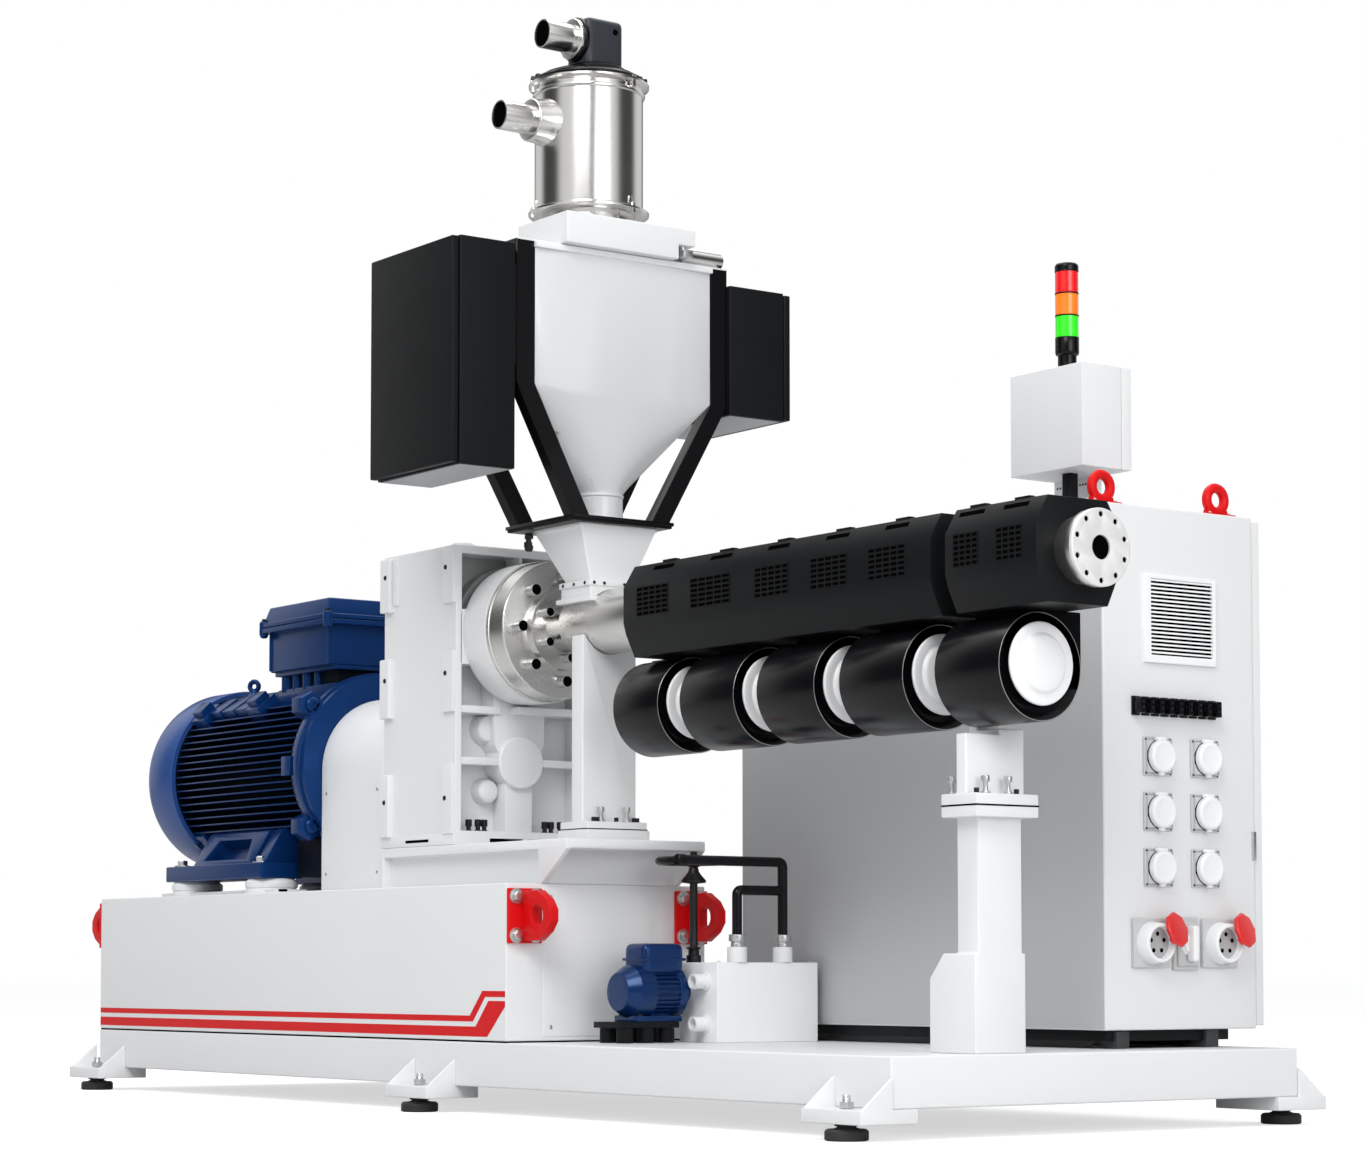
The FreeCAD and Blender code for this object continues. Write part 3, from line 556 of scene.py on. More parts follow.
def painted(name: str, colour: Point, rough: float, clear: float = 0.0, dust: float = 0.1,
            bump: float = 0.05, peel: float = 700.0, drift: float = 0.04, gloss: float = 0.5,
            tint: Point = (1.0, 1.0, 1.0), slot: str | None = None) -> Coat:
    """A sprayed or powder-coated finish."""
    values = (("Colour", (*colour, 1.0)), ("Roughness", rough), ("Dust Amount", dust),
              ("Peel Scale", peel), ("Drift", drift))
    return Coat(name, PAINT, values, clear=clear, bump=bump, gloss=gloss, tint=tint, slot=slot)


def metal(name: str, colour: Point, rough: float, cloud: float = 0.1, lines: float = 0.2,
          pure: float = 1.0, slot: str | None = None) -> Coat:
    """A bare metal finish."""
    values = (("Colour", (*colour, 1.0)), ("Roughness", rough), ("Clouding", cloud), ("Lines", lines))
    return Coat(name, STEEL, values, metallic=pure, bump=METAL_RELIEF, slot=slot)


def moulded(name: str, colour: Point, scuff: Point, rough: float, glow: float = 0.0, clear: float = 0.0,
            slot: str | None = None) -> Coat:
    """A plastic or rubber finish."""
    values = (("Colour", (*colour, 1.0)), ("Scuff", (*scuff, 1.0)), ("Roughness", rough))
    return Coat(name, MOULD, values, glow=glow, clear=clear, bump=GRAIN_RELIEF, slot=slot)


WHITE = painted("white_powder_coat", (0.78, 0.79, 0.80), 0.42, clear=0.15, slot="white_paint")
SHELL_WHITE = painted("cabinet_powder_coat", (0.76, 0.77, 0.78), 0.45, clear=0.1, peel=500.0, bump=0.08,
                      slot="grey_paint")
CAST_WHITE = painted("cast_white_enamel", (0.78, 0.79, 0.80), 0.38, clear=0.3, peel=160.0, bump=0.15,
                     slot="white_paint")
BLACK = painted("anthracite_powder_coat", (0.0056, 0.0064, 0.0072), 0.42, dust=0.004, gloss=0.15,
                slot="black_paint")
DARK = painted("dark_grey_powder_coat", (0.035, 0.037, 0.040), 0.5, dust=0.02)
# Unlit black with no reflection: painted shade, laid into slots, seams, holes, sockets and openings.
SHADOW = painted("painted_shade_black", (0.002, 0.002, 0.002), 0.9, dust=0.0, gloss=0.0)
BLUE = painted("motor_blue_enamel", (0.0022, 0.0235, 0.105), 0.27, clear=0.06, dust=0.0, peel=220.0,
               bump=0.08, gloss=0.6, tint=(0.16, 0.38, 1.0), slot="blue_paint")
# Lighter blue copy of the motor paint, with more clear coat: painted highlight for the cowl's bright
# grazing reflection.
BLUE_COWL_LIT = painted("cowl_lit_blue_enamel", (0.014, 0.060, 0.235), 0.38, clear=0.3, dust=0.0, peel=220.0,
                    bump=0.06, slot="blue_paint")
# Mid grey copy of the cast white: painted shade for the back of the gearbox's upper recess.
RECESS_SHADE_GREY = painted("painted_recess_shade_grey", (0.30, 0.31, 0.31), 0.6, dust=0.02)
# Grey copy of the cabinet white: painted shade for the cabinet's side facing the barrel.
SIDE_SHADE_GREY = painted("painted_shade_panel", (0.52, 0.53, 0.54), 0.5, dust=0.02)
# Near-black blue: painted shade for the motor core between the fins, the inside of the cowl, the core
# under the terminal neck and the block below the case.
BLUE_SHADE = painted("painted_shade_blue_enamel", (0.001, 0.003, 0.010), 0.6, dust=0.0, gloss=0.1,
                    slot="blue_paint")
BLACK_GLOSS = painted("black_gloss_enamel", (0.003, 0.003, 0.004), 0.24, clear=0.05, dust=0.0,
                      gloss=0.22, slot="black_plastic")
PUMP_BLUE = painted("pump_blue_enamel", (0.0016, 0.018, 0.085), 0.25, clear=0.1, dust=0.0, peel=220.0,
                    bump=0.06, gloss=0.7, tint=(0.3, 0.5, 1.0), slot="blue_paint")
SOCKET_GREY = painted("socket_frame_grey", (0.56, 0.565, 0.57), 0.4, dust=0.0, slot="white_plastic")
# Lighter copy of the white powder coat: painted light, brightening the tank where it sits in shade.
TANK_LIT_WHITE = painted("tank_lit_powder_coat", (0.88, 0.89, 0.90), 0.4, clear=0.1, slot="white_paint")
HOPPER_WHITE = painted("hopper_powder_coat", (0.66, 0.67, 0.68), 0.32, clear=0.35, peel=300.0,
                       slot="white_paint")
PLATE_GREY = painted("plate_grey_coat", (0.42, 0.43, 0.44), 0.45, dust=0.03)
HEAD_GREY = painted("loader_head_grey", (0.028, 0.032, 0.040), 0.38, clear=0.12, dust=0.01, gloss=0.3,
                    slot="black_paint")
RED = painted("signal_red_enamel", (0.66, 0.003, 0.005), 0.42, clear=0.05, dust=0.0, gloss=0.2,
              slot="red_paint")
STEEL_TURNED = metal("turned_steel", (0.72, 0.71, 0.69), 0.24, cloud=0.05, lines=0.12,
                     slot="machined_steel")
NECK_STEEL = metal("neck_steel", (0.60, 0.59, 0.57), 0.3, cloud=0.0, lines=0.0)
STAINLESS = metal("stainless_sheet", (0.74, 0.73, 0.71), 0.17, cloud=0.04, lines=0.12, slot="stainless")
ZINC = metal("zinc_plated", (0.62, 0.63, 0.63), 0.3, lines=0.2)
BRIGHT = metal("bright_face", (0.84, 0.84, 0.83), 0.4, cloud=0.03, lines=0.1, pure=0.35,
               slot="machined_steel")
BLACK_OXIDE = metal("black_oxide", (0.025, 0.025, 0.028), 0.4, lines=0.1, slot="black_plastic")
RUBBER = moulded("black_rubber", (0.018, 0.018, 0.019), (0.05, 0.05, 0.05), 0.62, slot="rubber")
WHITE_PLASTIC = moulded("white_plastic", (0.80, 0.80, 0.79), (0.7, 0.7, 0.69), 0.32, clear=0.3,
                        slot="white_plastic")
RED_PLASTIC = moulded("red_plastic", (0.72, 0.012, 0.014), (0.6, 0.05, 0.05), 0.35, clear=0.2)
LAMP_RED = moulded("red_lamp", (0.80, 0.008, 0.010), (0.7, 0.02, 0.02), 0.2, glow=0.1, clear=0.3)
LAMP_AMBER = moulded("amber_lamp", (0.95, 0.20, 0.008), (0.9, 0.28, 0.03), 0.2, glow=0.15, clear=0.3)
LAMP_GREEN = moulded("green_lamp", (0.03, 0.72, 0.015), (0.06, 0.8, 0.04), 0.2, glow=0.25, clear=0.3)


class Body(Enum):
    """The machine's moving bodies."""

    LINE = "line"
    DOOR = "door"
    WHEEL = "handwheel"


def fitted(obj: Obj, name: str, coat: Coat, body: Body = Body.LINE, node: str = "",
           slot: str | None = None, smooth: float = 32.0) -> Obj:
    """Finishes a piece: places it on the machine, dresses it and hangs it on its body.

    Args:
        obj: the modelled piece, on the line's own axes.
        name: the piece's name.
        coat: its finish.
        body: the body that it moves with.
        node: the CAD node that it is shown in place of.
        slot: the record's material slot; a stand-in given none takes its coat's own, but the piece does
            not keep it.
        smooth: edges flatter than this angle are shaded smooth.

    Returns:
        The finished piece.
    """
    obj.data.transform(TO_ROW)
    obj.name = obj.data.name = name
    only(obj)
    bpy.ops.object.shade_smooth_by_angle(angle=math.radians(smooth))
    obj.data.materials.clear()
    obj.data.materials.append(coat.material())
    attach(obj, body.value)
    if node:
        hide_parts(node)
        slot = slot or coat.slot
    LOG.info("%s: %d faces", name, len(obj.data.polygons))
    return obj


def skinned(node: str, name: str, coat: Coat, edge: float = 2.0, segments: int = 2, angle: float = 35.0,
            **more: object) -> Obj:
    """A CAD node's own shape with its edges rounded, shown in place of the node."""
    return fitted(skin(node, edge, segments, angle), name, coat, node=node, **more)


# ---------------------------------------------------------------- fasteners

def hex_head(radius: float, height: float, washer: float = 0.0) -> Obj:
    """A hexagon head on its washer, standing up from the origin."""
    head = turned((0, 0, washer), Axis.Z, ((0, radius), (height * 0.82, radius),
                                           (height, radius * 0.84)), 6, 0.3)
    if not washer:
        return head
    return joined([head, turned((0, 0, 0), Axis.Z, ((0, radius * 1.5), (washer, radius * 1.5)), 24,
                                0.3)])


def cap_head(radius: float, height: float) -> Obj:
    """A socket head, standing up from the origin."""
    wall = radius * 0.6
    return turned((0, 0, 0), Axis.Z, ((0, radius), (height, radius), (height, wall),
                                      (height * 0.4, wall)), 20, 0.5)


def pan_head(radius: float) -> Obj:
    """A low domed screw head with a drive recess."""
    h = radius * 0.5
    return turned((0, 0, 0), Axis.Z, ((0, radius), (h * 0.6, radius * 0.86), (h, radius * 0.5),
                                      (h, radius * 0.3), (h * 0.3, radius * 0.24)), 16, 0.0)


def jack_bolt(radius: float, length: float, nut: float) -> Obj:
    """A threaded stud with a lock nut part of the way up."""
    turns: list[tuple[float, float]] = [(0.0, radius)]
    steps = int(length / 2.5)
    for i in range(1, steps):
        turns.append((length * i / steps, radius * (0.86 if i % 2 else 1.0)))
    turns.append((length, radius * 0.8))
    stud = turned((0, 0, 0), Axis.Z, turns, 16, 0.0)
    return joined([stud, turned((0, 0, nut), Axis.Z, ((0, radius * 1.7), (radius * 1.4, radius * 1.7)),
                                6, 0.4)])


def ring(point: Point, axis: Axis | Point, radius: float, thick: float, sides: int = 64) -> Obj:
    """A round-section ring."""
    deselect()
    bpy.ops.mesh.primitive_torus_add(major_radius=radius, minor_radius=thick, major_segments=sides,
                                     minor_segments=10, location=Vector(point),
                                     rotation=turn_to(axis).to_euler())
    return settled(bpy.context.active_object)


def perforated(width: float, height: float, columns: int, rows: int, bar: float, thick: float) -> Obj:
    """A sheet with a grid of slots through it, flat on the ground round the origin.

    Args:
        width: length along X.
        height: length along Y.
        columns: slots along X.
        rows: slots along Y.
        bar: metal left between neighbouring slots.
        thick: sheet thickness.

    Returns:
        The sheet.
    """
    deselect()
    bpy.ops.mesh.primitive_grid_add(x_subdivisions=columns, y_subdivisions=rows, size=1)
    obj = bpy.context.active_object
    obj.scale = (width, height, 1)
    settled(obj)
    with editing(obj):
        bpy.ops.mesh.inset(use_individual=True, thickness=bar / 2)
        bpy.ops.mesh.delete(type="FACE")
    return modified(obj, "SOLIDIFY", thickness=thick, offset=1.0)


def laid(obj: Obj, place: Matrix) -> Obj:
    """Moves a piece modelled at the origin to its place."""
    obj.data.transform(place)
    return obj


AXIS_Y = middle("barrel").y
AXIS_Z = middle("barrel").z


def around(x: float, radius: float, angle: float, z: float = AXIS_Z) -> tuple[float, float, float]:
    """A point on a circle round the barrel's line; angle in degrees from +Y towards +Z."""
    a = math.radians(angle)
    return (x, AXIS_Y + radius * math.cos(a), z + radius * math.sin(a))


def beam(x: tuple[float, float], half: float, z: tuple[float, float], edge: float = 1.5,
         segments: int = 2) -> Obj:
    """A box centred across the barrel's line."""
    return block((x[0], AXIS_Y - half, z[0]), (x[1], AXIS_Y + half, z[1]), edge, segments)


# ---------------------------------------------------------------- base

@dataclass
class Base:
    """Long base frame on six levelling feet."""

    pad_x: tuple[float, ...] = (-77.0, -1473.0, -2979.0)
    pad_out: float = 35.0
    plate_top: float = 54.0
    rail_z: tuple[float, float] = (145.0, 176.0)

    def sites(self) -> list[tuple[float, float]]:
        """Centres of the six feet."""
        lo, hi = spot("base_frame")
        return [(x, y) for x in self.pad_x for y in (lo.y - self.pad_out, hi.y + self.pad_out)]

    def build(self) -> None:
        """Frame, brackets, feet and their studs."""
        skinned("base_frame", "base_frame_shell", WHITE, 4.0, 3)
        skinned("foot_brackets", "foot_bracket_set", WHITE, 2.0)
        foot = turned((0, 0, 0), Axis.Z, ((0, 35), (2, 38), (16, 38), (20, 34), (20, 21), (22, 21),
                                          (22, 17), (25, 17), (25, 21), (29, 21)), 40, 0.6)
        feet = stood(foot, [(x, y, 0) for x, y in self.sites()])
        fitted(feet, "levelling_feet", RUBBER, node="foot_pads")
        studs = stood(jack_bolt(8.0, 24.0, 1.0), [(x, y, self.plate_top) for x, y in self.sites()])
        fitted(studs, "foot_studs", ZINC)
        lo, hi = spot("cabinet_body")
        rails = []
        for y in (lo.y + 34, hi.y - 126):
            rails.append(block((lo.x + 8, y, self.rail_z[0]), (hi.x - 8, y + 32, self.rail_z[1]), 1.5))
        fitted(joined(rails), "cabinet_rails", DARK)


@dataclass
class MotorBase:
    """Box under the motor and gearbox, with its stripes, end panel and lifting lugs."""

    lift: float = 3.0
    panel_y: tuple[float, float] = (89.0, 434.0)
    thin: tuple[float, float] = (185.0, 197.0)
    thick: tuple[float, float] = (155.0, 175.0)
    bolt_set: tuple[float, float] = (23.0, 39.0)

    def stripe(self, points: Sequence[tuple[float, float]]) -> Obj:
        """A painted stripe on the operator side, as a thin film."""
        lo = spot("motor_base_box")[0]
        return plate([(x, lo.y, z) for x, z in points], (0, -0.5, 0), 0.0)

    def stripes(self) -> None:
        """A narrow and a wide red stripe, both with a step up at the die-side end."""
        lo, hi = spot("motor_base_box")
        left, right = lo.x + 4, hi.x - 3.5
        a, b = self.thin
        narrow = self.stripe(((left, a), (-1325, a), (-1279, a + 50), (right, a + 50), (right, b + 50),
                              (-1290, b + 50), (-1337, b), (left, b)))
        c, d = self.thick
        wide = self.stripe(((left, c), (-1271, c), (right, c + 61), (right, d + 52), (-1267, d + 52),
                            (-1315, d), (left, d)))
        fitted(joined([narrow, wide]), "base_stripes", RED, slot="red_paint")

    def build(self) -> None:
        """The whole box."""
        lo, hi = spot("motor_base_box")
        box = block((lo.x, lo.y, lo.z + self.lift), hi, 4.0, 3)
        fitted(box, "motor_base_shell", WHITE, node="motor_base_box")
        # Unlit black block in the seam under the box: painted shade.
        gap_shade = block((lo.x + 2, lo.y + 2, lo.z - 1), (hi.x - 2, hi.y - 2, lo.z + self.lift + 2), 0.5)
        fitted(gap_shade, "motor_base_joint_shade", SHADOW)
        y0, y1 = self.panel_y
        panel = block((hi.x - 4, y0, lo.z + 12), (hi.x + 1.6, y1, hi.z - 8), 1.2)
        fitted(panel, "motor_base_end_panel", WHITE)
        sites = [(y, z) for y in (y0 + 16, y1 - 16) for z in (lo.z + 30, hi.z - 26)]
        screws = stood(pan_head(4.5), [(hi.x + 1.6, y, z) for y, z in sites], Axis.X)
        fitted(screws, "end_panel_screws", ZINC)
        self.stripes()
        self.lugs(lo, hi)

    def lugs(self, lo: Vector, hi: Vector) -> None:
        """Four lifting lugs and their bolts."""
        nose = ((0, -50), (66, -50), (98, -32), (114, -12), (114, 12), (98, 32), (66, 50), (0, 50))
        lugs = []
        middle_z = hi.z - 65.0
        for yc in (40.0, hi.y - 40.0):
            for face, sign in ((hi.x, 1), (lo.x, -1)):
                lugs.append(block((face, yc - 40, middle_z - 55),
                                  (face + sign * 10, yc + 40, middle_z + 55), 3.0, 3))
                web = plate([(face + sign * dx, yc - 10, middle_z + dz) for dx, dz in nose], (0, 20, 0),
                            0.0)
                eye = rod((face + sign * 65, yc - 30, middle_z), (face + sign * 65, yc + 30, middle_z),
                          21, 48, 0.0)
                lugs.append(rounded(carved(web, eye), 2.5, 3, 40))
        fitted(joined(lugs), "lifting_lug_set", RED, node="lifting_lugs")
        dy, dz = self.bolt_set
        zc = hi.z - 65.0
        places = []
        for yc in (40.0, hi.y - 40.0):
            for y in (yc - dy, yc + dy):
                for z in (zc - dz, zc + dz):
                    places.append(facing((hi.x + 10, y, z), Axis.X, 15))
                    places.append(facing((lo.x - 10, y, z), Axis.BACK_X, 15))
        fitted(set_out(hex_head(10.5, 9.0, 2.5), places), "lug_bolts", ZINC)


# ---------------------------------------------------------------- gearbox

@dataclass
class Gearbox:
    """Cast gearbox on its table, with thrust housing and machined output flange."""

    back: float = -1835.0
    front: float = -1540.0
    half: float = 166.0
    rim: float = 14.0
    deep: float = 62.0
    hub_r: float = 150.0
    hub_end: float = -1453.0
    disc_r: float = 56.0
    disc_z: float = 729.0
    ribs: tuple[tuple[float, float], ...] = ((1041.0, 0.0), (838.0, -2.0), (729.0, -2.0))
    proud: float = 13.0
    outer_bolts: tuple[int, float] = (8, 110.0)
    inner_bolts: tuple[int, float] = (6, 62.0)

    def casting(self) -> None:
        """Housing with the open ribbed front, its bearing cover and thrust housing."""
        lo, hi = spot("gearbox_housing")
        back, front, half = lo.x, self.front, self.half
        top, foot = hi.z, lo.z
        body = beam((back, front), half, (foot, top), 3.0, 3)
        inner = half - self.rim
        body = carved(body, block((front - self.deep, AXIS_Y - inner, foot + 30),
                                  (front + 40, AXIS_Y + inner, top - 18), 0.0))
        slots = ((back + 102, back + 201, AXIS_Y - half - 9, AXIS_Y - half + 30),
                 (front - 20, front + 9, AXIS_Y - 80, AXIS_Y + 2),
                 (front - 20, front + 9, AXIS_Y + 20, AXIS_Y + 60))
        for x0, x1, y0, y1 in slots:
            body = carved(body, block((x0, y0, foot + 9), (x1, y1, foot + 15), 0.0))
        fitted(body, "gearbox_casting", CAST_WHITE, node="gearbox_housing")
        cavity = self.deep
        ribs = []
        for z, out in self.ribs:
            ribs.append(block((front - cavity, AXIS_Y - inner - 4, z - 8),
                              (front + out - 1, AXIS_Y - 50, z + 8), 2.5))
            reach = 26.0 if out and z > 800 else 0.0
            ribs.append(block((front - cavity, AXIS_Y + 40 - 2.4 * reach, z - 8),
                              (front + out + reach, AXIS_Y + inner + 4, z + 8), 2.5))
        ribs.append(beam((front - cavity, front - 6), 4, (1040, top - 14), 2.0))
        ribs.append(beam((front - cavity, front - 12), 34, (foot + 26, self.disc_z), 2.5))
        ribs.append(block((front - cavity, AXIS_Y - inner - 4, 932), (front, AXIS_Y - 100, 1042), 2.5))
        # The half-ring boss and the sheet at the back of the upper recess are painted mid grey as the
        # shade inside the recess.
        half_ring = [(front - cavity - 1, y, z) for y, z in arc((AXIS_Y, AXIS_Z), 151, 0, 180, 64)]
        boss = plate(half_ring, (34, 0, 0), 1.0)
        sheet = block((front - cavity - 1, AXIS_Y - inner - 1, 1049),
                      (front - cavity + 1.2, AXIS_Y + inner + 1, top - 17), 0.0)
        fitted(joined([boss, sheet]), "gearbox_upper_boss_shaded", RECESS_SHADE_GREY)
        ribs.append(turned((front - cavity - 1, AXIS_Y - 60, 800), Axis.X,
                           ((0, 34), (30, 28), (34, 20)), 40, 3.0))
        ribs.append(turned((front - cavity - 1, AXIS_Y - 60, 668), Axis.X,
                           ((0, 30), (26, 24), (30, 16)), 40, 3.0))
        fitted(joined(ribs), "gearbox_ribs", CAST_WHITE)
        tongue = [(front, y, z) for y, z in arc((AXIS_Y, 790), 66, 200, 340, 18)]
        tongue += [(front, AXIS_Y + 66, 900), (front, AXIS_Y - 66, 900)]
        web = plate([(front - cavity, y, z) for _, y, z in tongue], (cavity - 10, 0, 0), 1.5)
        disc = turned((front - cavity, AXIS_Y, self.disc_z), Axis.X,
                      ((0, self.disc_r), (cavity - 3, self.disc_r), (cavity, self.disc_r - 3)), 72, 0.8)
        fitted(joined([web, disc]), "bearing_cover", CAST_WHITE)
        hub = turned((front - 4, AXIS_Y, AXIS_Z), Axis.X,
                     ((0, self.hub_r - 2), (10, self.hub_r), (self.hub_end - front + 4, self.hub_r)),
                     128, 3.0)
        fitted(hub, "thrust_housing", CAST_WHITE)

    def pads(self) -> None:
        """Raised pads in two columns on both long sides, and their screws."""
        lo = spot("gearbox_housing")[0]
        back, front, half = lo.x, self.front, self.half
        spans = ((lo.z + 23, 709.0), (831.0, 960.0), (1062.0, 1178.0))
        pads, screws = [], []
        for side in (-1, 1):
            face = AXIS_Y + side * half
            for i, (z0, z1) in enumerate(spans):
                low = 12.0 if i == 0 else 0.0
                root, out = face - side * 6, face + side * self.proud
                pads.append(block((back + 1, root, z0), (back + 40, out, z1), 3.0, 3))
                pads.append(block((front - 42, root, z0), (front - 1, face + side * 8, z1 + low), 2.5,
                                  3))
                axis = (0, side, 0)
                height = (z0 + z1) / 2 + (18 if i else 8)
                screws.append(facing((back + 24, face + side * self.proud, height), axis))
                screws.append(facing((front - 30, face + side * 8, height), axis))
            root, out = face - side * 4, face + side * 5
            pads.append(block((back + 44, root, 1075), (back + 62, out, 1178), 3.0, 3))
            pads.append(block((back, root, lo.z), (front, out, lo.z + 24), 2.0))
        fitted(joined(pads), "gearbox_pads", CAST_WHITE)
        fitted(set_out(pan_head(5.5), screws), "gearbox_pad_screws", BLACK_OXIDE)

    def top(self) -> None:
        """Lid rim, breather and lifting boss on top, and the bolts through the foot."""
        hi = spot("gearbox_housing")[1]
        back, front, half = self.back, self.front, self.half
        lid = [beam((back + 12, front - 14), 150, (hi.z - 6, hi.z + 3), 3.0, 3)]
        lid.append(turned((front - 52, AXIS_Y - 118, hi.z - 4), Axis.Z, ((0, 26), (9, 26), (13, 21)),
                          40, 2.0))
        lid.append(turned((back + 70, AXIS_Y + 90, hi.z - 4), Axis.Z, ((0, 22), (9, 22), (13, 17)), 40,
                          2.0))
        fitted(joined(lid), "gearbox_lid", CAST_WHITE)
        breather = turned((front - 6, AXIS_Y + 18, hi.z - 2), Axis.Z,
                          ((0, 8), (5, 8), (5, 6), (9, 6), (9, 9), (20, 9), (20, 5), (26, 5), (26, 7),
                           (33, 7), (35, 4)), 24, 0.6)
        fitted(breather, "gearbox_breather", BLACK_OXIDE)
        studs = []
        floor = spot("gearbox_housing")[0].z + 30
        for y in (-118, -100, -84, 74, 90, 108):
            studs.append(facing((front - 16 - (y % 4) * 4, AXIS_Y + y, floor), Axis.Z))
        stud = turned((0, 0, 0), Axis.Z, ((0, 8), (2, 8), (2, 5), (10, 5), (10, 7), (24, 7), (25, 6)),
                      20, 0.3)
        fitted(set_out(stud, studs), "gearbox_foot_bolts", BLACK_OXIDE)
        # Unlit black blocks in the foot slots: painted shade.
        slit_shades = [block((back + 102, AXIS_Y - half - 5.4, floor - 22),
                       (back + 196, AXIS_Y - half - 3, floor - 16), 0.0),
                 block((front - 2, AXIS_Y - 80, floor - 24), (front + 0.4, AXIS_Y + 2, floor - 15),
                       0.0), block((front - 2, AXIS_Y + 18, floor - 22),
                                   (front + 0.4, AXIS_Y + 60, floor - 16), 0.0)]
        fitted(joined(slit_shades), "gearbox_foot_slit_shades", SHADOW)

    def flange(self) -> None:
        """Machined flange with two rings of bolts."""
        lo, hi = spot("output_flange")
        face = hi.x - 20 - lo.x
        disc = turned((lo.x, AXIS_Y, AXIS_Z), Axis.X,
                      ((0, 148), (9, 148), (10, 145), (face - 2, 145), (face, 143), (face, 86),
                       (face + 20, 86), (face + 20, 79)), 128, 0.8)
        fitted(disc, "output_flange_disc", STEEL_TURNED, node="output_flange")
        self.bolt_ring("outer", self.outer_bolts, hi.x - 20, 12.0, 26.0, 0.0)
        self.bolt_ring("inner", self.inner_bolts, hi.x, 9.5, 22.0, 30.0)

    def bolt_ring(self, name: str, layout: tuple[int, float], x: float, radius: float, height: float,
                  start: float) -> None:
        """One ring of socket screws: bright heads, their sockets filled with painted shade.

        Args:
            name: the ring's name.
            layout: number of screws and the circle's radius.
            x: the face that they stand on.
            radius: head radius.
            height: head height.
            start: angle of the first.
        """
        count, circle = layout
        spots = [around(x, circle, start + i * 360 / count) for i in range(count)]
        heads = turned((0, 0, 0), Axis.Z, ((0, radius), (height, radius), (height, radius * 0.9),
                                           (height * 0.9, radius * 0.88)), 28, 0.4)
        fitted(stood(heads, spots, Axis.X), name + "_flange_bolts", ZINC)
        # Each socket is filled with an unlit black disc: painted shade in the recess.
        core = turned((0, 0, 0), Axis.Z, ((0, radius * 0.94), (1.2, radius * 0.92), (1.2, radius * 0.6),
                                          (0.9, radius * 0.5)), 24, 0.0)
        ends = [facing((p[0] + height - 0.6, p[1], p[2]), Axis.X) for p in spots]
        fitted(set_out(core, ends), name + "_flange_socket_shades", SHADOW)

    def build(self) -> None:
        """Table and gearbox."""
        skinned("gearbox_table", "gearbox_table_weldment", WHITE, 3.0)
        self.casting()
        self.pads()
        self.top()
        self.flange()


# ---------------------------------------------------------------- barrel

@dataclass(frozen=True)
class CoverRun:
    """One folded heat cover.

    Attributes:
        node: its CAD node.
        vents: start and end of each vent grid along the machine.
        columns: slots across each grid.
        slots: start and end of each hook slot.
    """

    node: str
    vents: tuple[tuple[float, float], ...]
    columns: int
    slots: tuple[tuple[float, float], ...]


